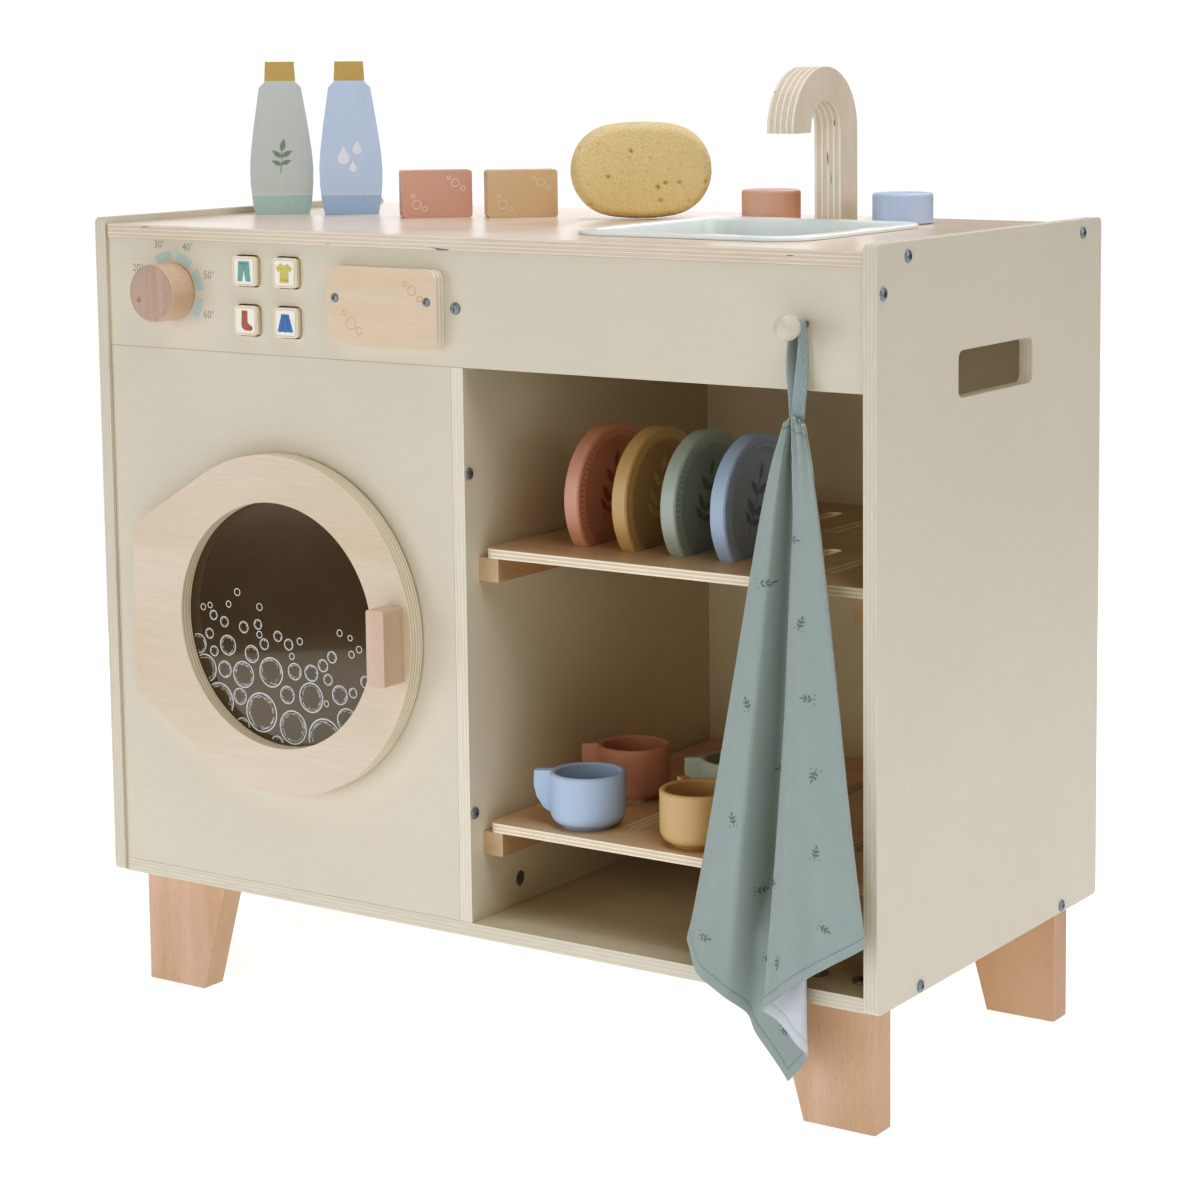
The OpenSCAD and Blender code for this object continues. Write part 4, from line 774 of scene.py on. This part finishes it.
def make_sink():
    """The moulded basin with its rolled rim and round bends."""
    centre, (width, depth, deep) = middle("sink_basin"), size("sink_basin") / MM
    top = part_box("sink_basin")[1][Z]
    rim, lip = 8.0, -2.95
    bowl, floor = rim + 2.4, 2.4 - deep
    # pairs of inset and height, from the middle of the underside over the rim to the bowl's floor
    profile = (bend((rim + 16, -deep), (rim + 9.5, -deep), (rim + 7, -deep + 8))
               + [(rim + 1.2, -4), (rim + 1, lip), (1.2, lip)] + bend((1.2, lip), (0, lip), (0, -2), 3)
               + bend((0, -1.6), (0, 0), (2.4, 0), 5) + [(rim + 0.6, 0)]
               + bend((rim + 1.4, -0.1), (rim + 3, -0.2), (rim + 3.6, -3), 5)
               + bend((bowl + 7, 13 - deep), (bowl + 8.4, floor), (bowl + 17, floor), 8))
    points = []
    for inset, height in profile:
        outline = round_box(0, 0, width - 2 * inset, depth - 2 * inset, max(30 - inset * 0.75, 9), 14)
        points += [(centre.x + x * MM, centre.y + y * MM, top + height * MM) for x, y in outline]
    look = Look("sink_plastic", {"Coat Weight": 0.3, "Coat Roughness": 0.12})
    colour = look.mix(look.span(look.noise(30.0, 3.0), 0.3, 0.7), "#EFF3F1", "#E7EDEB")
    # painted shade: below the rim the bowl's walls turn darker, for the shade that falls inside it
    inside = look.span(look.part(look.spot, Z), top - 10 * MM, top - 2 * MM, 1.0, 0.0)
    look.set({"Base Color": look.mix(inside, colour, "#D8E1DC"),
              "Roughness": look.span(look.noise(500.0), 0.3, 0.7, 0.28, 0.4)})
    look.relief(look.noise(1200.0), 0.00001)
    sink = tube("sink_moulded", points, len(outline), look.material)
    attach(sink, "sink")
    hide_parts("sink_basin")


# -------- sponge


def make_sponge():
    """The sponge: an oval cushion with a crowned face, full of open pores of mixed size."""
    centre, (right, out) = middle("sponge"), turned(40)
    width, thick, rim = 96.0, 34.0, size("sponge").z / MM / 2
    around, rows = 240, 84
    points, pores = [], []
    for j in range(rows + 1):
        # from the middle of the back face, round the edge, to the middle of the front face
        shrink, bulge = profile_of(-1 + 2 * j / rows)
        for i in range(around):
            x, z = polar(0, 0, 1, 360 * i / around)
            oval = (width / 2 - rim) * math.tanh(3 * x) * min(1, shrink * 1.6)
            here = Vector((oval + (rim - 0.5) * shrink * x, bulge * thick / 2, (rim - 0.5) * shrink * z))
            flank = 1.2 * (1 - abs(bulge))
            dent, shadow = pore_at(here)
            here -= Vector((x * flank, bulge, z * flank)).normalized() * dent
            here.z = max(here.z, -rim + 0.15)
            points.append(centre + (right * here.x + out * here.y + Vector((0, 0, here.z))) * MM)
            pores.append(shadow)
    look = Look("sponge_foam", {"Roughness": 0.9, "Subsurface Weight": 0.12, "Sheen Weight": 0.15})
    look.shader.inputs["Subsurface Radius"].default_value = (0.004, 0.003, 0.0015)
    # painted shade in the pores, read from the points
    depth = look.add("ShaderNodeAttribute", attribute_name="pore").outputs["Fac"]
    fine = look.noise(900.0, 4.0, 0.7)
    cells = look.add("ShaderNodeTexVoronoi", {"Vector": look.spot, "Scale": 520.0}).outputs["Distance"]
    tone = look.mix(look.span(fine, 0.35, 0.7), "#EED7A8", "#DFC38D")
    # painted shade in the finest pores: darker spots at the cells' middles
    tone = look.mix(look.span(cells, 0.12, 0.3, 0.3, 0.0), tone, "#C9A04F")
    look.set({"Base Color": look.mix(depth, tone, "#B98A3A")})
    look.relief(look.maths("ADD", fine, cells), 0.0005)
    sponge = tube("sponge_foam", points, around, look.material)
    sponge.data.attributes.new("pore", "FLOAT", "POINT").data.foreach_set("value", pores)
    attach(sponge, "sponge")
    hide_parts("sponge")


def profile_of(t):
    """Half width and bulge of the sponge's section at t, from -1 at the back's middle to 1 at the front's."""
    # the rim is a round, the faces are nearly flat with a low crown
    rim, flat, shoulder = 0.42, 0.80, 0.86
    side, u = math.copysign(1, t), abs(t)
    if u < rim:
        angle = math.pi / 2 * u / rim
        return flat + (1 - flat) * math.cos(angle), side * shoulder * math.sin(angle)
    v = (u - rim) / (1 - rim)
    return flat * (1 - v) + 0.002, side * (shoulder + (1 - shoulder) * math.sin(math.pi / 2 * v))


def pore_at(spot):
    """How deep the foam dips at a spot, in millimetres, and how much painted shade its pore gets."""
    dent = shadow = 0.0
    for scale, share, depth in ((0.085, 0.16, 1.7), (0.19, 0.17, 0.9), (0.4, 0.2, 0.4)):
        distance, places = noise.voronoi(spot * scale)
        # only some of the cells are open pores
        open_cell = noise.cell(places[0] * 7.3) > -0.1
        if open_cell and distance[0] < share:
            fall = 1 - distance[0] / share
            dent += depth * math.sqrt(fall)
            # the painted shade in a pore grows with its depth
            shadow = max(shadow, min(1.0, fall * 1.4) * (0.5 + depth * 0.25))
    return dent + 0.18 * noise.noise(spot * 0.5), min(shadow, 1.0)


# -------- towel

# The towel hangs by one corner, so its threads run down from the neck and the cloth is a folded cone.
# Each bend of the fold is a thread: its lean sideways and back, and its angle in the flat cloth, where
# 0 is the diagonal and 45 an edge. All are in degrees.
FOLDS = ((-9.5, 1.6, -45), (-5.8, 2, -36), (-5.8, 1.3, -34.5), (-12, 0.2, -15.5), (-12.4, -0.6, -14),
         (-9.3, -1.5, -10.5), (-6.8, -1.4, -7.9), (-6, -0.3, -6.5), (-4.9, 2, -3.9), (-2.2, 2.7, -1.1),
         (0.4, 0.8, 1.9), (0.9, -0.6, 3.6), (-2.6, -1, 7.3), (-2.9, -1.6, 8.3), (0.2, -2.3, 11.8),
         (4.6, -2.1, 16.6), (8.4, -1.1, 20.9), (8.2, -0.4, 21.9), (2.7, 0.1, 31), (1.9, 0.35, 33),
         (6.9, 0.4, 38.5), (1.3, 0.45, 45))
TOWEL_SIDE = 283.0
NECK_SPREAD = (0.36, 2.4)
LOOP_DROP = 49.0
HEM = 6.5


class Cloth:
    """The towel's surface as a function of the angle and distance in the flat cloth."""

    def __init__(self):
        angles = np.linspace(-45, 45, 721)
        lean = [np.interp(angles, [f[2] for f in FOLDS], [f[k] for f in FOLDS]) for k in (0, 1)]
        reach = 9
        kernel = np.exp(-np.linspace(-2.2, 2.2, 2 * reach + 1) ** 2)
        kernel /= kernel.sum()
        # the leans are smoothed along the fold, so its bends are round
        self.angles = angles
        self.lean = [np.convolve(np.pad(v, reach, mode="reflect", reflect_type="odd"), kernel, "valid")
                     for v in lean]
        peg = middle("peg_ball")
        # the front edges of the side panels are 2.5 mm in front of the washer front
        edge_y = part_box("side_panel_left")[0][Y]
        self.neck = np.array([peg.x - 1 * MM, edge_y - 6 * MM, peg.z - LOOP_DROP * MM])

    def at(self, angle, l):
        """The point at an angle in degrees and a distance in millimetres. Both may be arrays."""
        angle, l = np.asarray(angle, float), np.asarray(l, float)
        ax, ay = (np.interp(angle, self.angles, v) for v in self.lean)
        # soft waves that grow towards the hem, and small pleats at the neck
        grow = np.clip(l / 300, 0, 1.3) ** 1.5
        ay = ay + grow * (0.20 * np.sin(angle * 0.62 + l / 70) + 0.14 * np.sin(angle * 1.3 - l / 46 + 1))
        ax = ax + grow * 0.16 * np.sin(angle * 0.45 - l / 85 + 2)
        # the valley grows shallow towards the hem, where the cloth hangs before the bottom board
        most = 2.6 - 2.2 * np.clip((l - 270) / 45, 0, 1)
        ay = ay - 0.25 * np.log1p(np.exp(np.clip((ay - most) / 0.25, -30, 30)))
        # below the neck the cloth swells, and the border of the right lobe bends to the right
        swell = 0.45 * l / 60 * np.exp(1 - l / 60) * ax
        border = np.exp(-((angle - 7.8) / np.where(angle < 7.8, 8, 4)) ** 2)
        border = 6 * border * np.clip(l / 60, 0, 1) * np.clip((430 - l) / 260, 0, 1)
        pleat = np.exp(-((l - 10) / 34) ** 2)
        rx, ry = np.radians(ax), np.radians(ay)
        x = NECK_SPREAD[0] * ax + swell + border + l * np.sin(rx) + 0.35 * pleat * np.sin(angle * 1.9)
        y = NECK_SPREAD[1] * ay + l * np.sin(ry) + 0.8 * pleat * np.sin(angle * 1.35 + 1)
        z = -l * np.cos(rx) * np.cos(ry)
        return self.neck + np.stack([x, y, z], -1) * MM

    def normal(self, angle, l):
        """Unit normals on the side that shows at the front."""
        da, dl = 0.12, 1.0
        across = self.at(angle + da, l) - self.at(angle - da, l)
        down = self.at(angle, l + dl) - self.at(angle, l - dl)
        n = np.cross(down, across)
        return n / np.linalg.norm(n, axis=-1, keepdims=True)


def make_towel():
    cloth = Cloth()
    columns, rows = 361, 96
    angle = np.linspace(-45, 45, columns)
    # the outer threads start lower, so the gathered corner is round
    top = 3 + 5 * ((np.interp(angle, cloth.angles, cloth.lean[0]) + 2) / 9) ** 2
    total = TOWEL_SIDE / np.cos(np.radians(45 - np.abs(angle)))
    # rows lie closer in the hem
    share = np.concatenate([np.linspace(0, 1, rows)[:-1], 1 + np.linspace(0, 1, 9)])
    l = np.where(share[:, None] <= 1, top + (total - HEM - 2 - top) * np.minimum(share, 1)[:, None],
                 total - (HEM + 2) * (2 - share[:, None]))
    a = np.broadcast_to(angle, l.shape)
    centres, normals = cloth.at(a, l), cloth.normal(a, l)
    # places in the flat cloth, in millimetres from the corner at the neck
    u, v = l * np.cos(np.radians(a + 45)), l * np.sin(np.radians(a + 45))
    edge = np.minimum(np.minimum(TOWEL_SIDE - u, TOWEL_SIDE - v), np.minimum(u, v))
    # a doubled hem with a stitched groove at its inner edge, thin cloth elsewhere
    hem = 1 / (1 + np.exp(np.clip((edge - HEM) * 3, -30, 30)))
    groove = np.exp(-((edge - HEM + 0.9) / 0.5) ** 2)
    half = (0.32 + 0.5 * hem - 0.42 * groove) * MM
    half *= np.clip(l / 30, 0.6, 1)
    shift = normals * half[..., None]
    points = np.concatenate([(centres + shift).reshape(-1, 3), (centres - shift).reshape(-1, 3)])
    # the front layer's points as a grid; those of the back layer follow them
    back, at = l.size, np.arange(l.size).reshape(l.shape).tolist()
    faces, side = [], []
    for upper, lower in zip(at, at[1:]):
        for i in range(columns - 1):
            quad = (upper[i], lower[i], lower[i + 1], upper[i + 1])
            faces += [quad, [back + k for k in reversed(quad)]]
            side += [0, 1]
    rim = at[0] + [row[-1] for row in at[1:]] + at[-1][-2::-1] + [row[0] for row in at[-2:0:-1]]
    faces += [(p, q, back + q, back + p) for p, q in zip(rim, rim[1:] + rim[:1])]
    towel = mesh_object("towel_cloth", points, faces, cotton("towel_front", "#A0ADAD", "#94A4A4", "#74868A"),
                        cotton("towel_back", "#D5DAE0", "#C8CFD6", "#AEB7C2"), smooth=True)
    towel.data.polygons.foreach_set("material_index", side + [0] * len(rim))
    places = np.stack([u.ravel(), v.ravel(), edge.ravel()], -1)
    flat = towel.data.attributes.new("flat", "FLOAT_VECTOR", "POINT")
    flat.data.foreach_set("vector", np.concatenate([places, places]).ravel())
    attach(towel, "towel")
    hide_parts("towel")
    make_loop(cloth)
    make_sprigs(cloth)


def cotton(name, light, dark, thread):
    """Plain-woven cotton: crossing threads, soft slubs and a stitched hem line."""
    look = Look(name, {"Roughness": 0.85, "Sheen Weight": 0.25, "Sheen Roughness": 0.5,
                       "Specular IOR Level": 0.2})
    flat = look.add("ShaderNodeAttribute", attribute_name="flat").outputs["Vector"]
    u, v, edge = (look.part(flat, k) for k in (X, Y, Z))
    weave = look.product(look.wave(u, 0.55), look.wave(v, 0.55))
    slubs = look.maths("ADD", *[look.noise(1.0, 3.0, at=look.scaled(flat, scale))
                                for scale in ((0.04, 1.6, 0), (1.6, 0.04, 0))])
    tone = look.mix(look.span(slubs, 0.7, 1.3, 0.1, 0.9), light, dark)
    tone = look.mix(look.span(weave, -1.0, 1.0, 0.16, 0.0), tone, thread)
    # the stitches: short dashes along the inner edge of the hem
    dash = look.maths("GREATER_THAN", look.wave(look.maths("ADD", u, v), 2.6), -0.6)
    near = look.maths("ABSOLUTE", look.maths("SUBTRACT", edge, HEM - 0.9))
    stitch = look.product(look.maths("LESS_THAN", near, 0.45), dash)
    look.set({"Base Color": look.mix(look.product(stitch, 0.75), tone, thread)})
    look.relief(look.maths("ADD", look.product(weave, 0.6), slubs), 0.00009)
    return look.material


def make_sprigs(cloth):
    """Small sprigs printed all over the towel's front in staggered rows, each turned its own way."""
    dice = random.Random(11)
    pitch, points, faces = 40.0, [], []

    def stamp(outline, cu, cv, turn):
        """A printed shape, left out where it would reach the neck or an edge."""
        x, z = np.array(outline).T
        u = cu + x * math.cos(turn) - z * math.sin(turn)
        v = cv + x * math.sin(turn) + z * math.cos(turn)
        a, l = np.degrees(np.arctan2(v, u)) - 45, np.hypot(u, v)
        if (np.abs(a) > 44.5).any() or (l < 30).any():
            return
        faces.append(range(len(points), len(points) + len(outline)))
        points.extend((cloth.at(a, l) + cloth.normal(a, l) * 0.5 * MM).tolist())

    for row in range(8):
        for column in range(8):
            cu = 22 + pitch * column + (pitch / 2 if row % 2 else 0) + dice.uniform(-3, 3)
            cv = 22 + pitch * row + dice.uniform(-3, 3)
            if not (10 < cu < TOWEL_SIDE - 14 and 10 < cv < TOWEL_SIDE - 14):
                continue
            turn = math.radians(45 + dice.choice((0, 90, 180, 270)) + dice.uniform(-14, 14))
            left, right = stroke([(0, -4.4), (0.25, -1.5), (0, 2.2)], 0.42)
            leaves = [leaf(x, z, length, 1.15, angle, 4) for x, z, length, angle in
                      ((0, 2.0, 3.0, 90), (0.1, 0.4, 3.0, 40), (0, 0.2, 3.0, 140), (0.2, -1.7, 2.8, 34),
                       (0.1, -1.9, 2.8, 146))]
            dots = circle(2.6, -3.6, 0.42, 7), circle(-2.5, -3.9, 0.42, 7)
            for outline in (left + right[::-1], *leaves, *dots):
                stamp(outline, cu, cv, turn)
    sprigs = mesh_object("towel_sprigs", points, faces, print_ink("towel", "#647A7B", 0.9))
    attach(sprigs, "towel")
    return sprigs


def make_loop(cloth):
    """The hanging loop: a flat tape over the peg's stem that turns its face to the front at the neck."""
    peg, foot, mid_y = middle("peg_ball"), cloth.neck - np.array([0, 0, 5 * MM]), cloth.neck[1]
    radius, wide, thick = 2.9, 8.0, 1.1
    legs = {-1: [], 1: []}
    for side, leg in legs.items():
        for k in range(15):
            t = k / 14
            # from the stem's side down to the neck, bowed out a little
            x = peg.x + side * (radius * (1 - t) + 2.4 * math.sin(math.pi * t) * (1 - t) + 0.7 * t) * MM
            x += (foot[0] - peg.x) * t
            turn = side * math.radians(62) * min(1, t * 1.5) ** 1.2
            leg.append((Vector((x, mid_y - 0.4 * MM * side * t, peg.z - (peg.z - foot[2]) * t)), turn))
    over = [(Vector((x, mid_y, z)), 0.0) for x, z in arc(peg.x, peg.z, radius * MM, 180, 0, 12)[1:-1]]
    spine = legs[-1][::-1] + over + legs[1]
    points, count = [], 9
    section = [(k, 1) for k in range(count)] + [(k, -1) for k in reversed(range(count))]
    for i, (spot, turn) in enumerate(spine):
        ahead = (spine[min(i + 1, len(spine) - 1)][0] - spine[max(i - 1, 0)][0]).normalized()
        across = Matrix.Rotation(turn, 3, ahead) @ Vector((0, -1, 0))
        across = (across - ahead * across.dot(ahead)).normalized()
        face = ahead.cross(across).normalized()
        for k, side in section:
            s = -1 + 2 * k / (count - 1)
            half = side * thick / 2 * (1.0 if abs(s) < 0.85 else 0.7)
            points.append(spot + (across * s * wide / 2 + face * half) * MM)
    look = Look("towel_tape", {"Roughness": 0.85, "Sheen Weight": 0.2, "Specular IOR Level": 0.2})
    twill = look.streaks(1500, 500, Z)
    look.set({"Base Color": look.mix(look.span(twill, 0.3, 0.7), "#9AA8AB", "#85959A")})
    look.relief(twill, 0.0002)
    loop = tube("towel_loop", points, len(section), look.material)
    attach(loop, "towel")
    return loop


# -------- everything together

for make in (make_camera, make_light, make_floor, finish_cabinet, finish_door, finish_controls, finish_sink,
             finish_play_pieces, make_dial_scale, make_button_faces, make_drawer_bubbles, make_window_bubbles,
             make_bottle_prints, make_soap_bubbles, make_plate_prints, make_sink, make_sponge, make_towel):
    make()
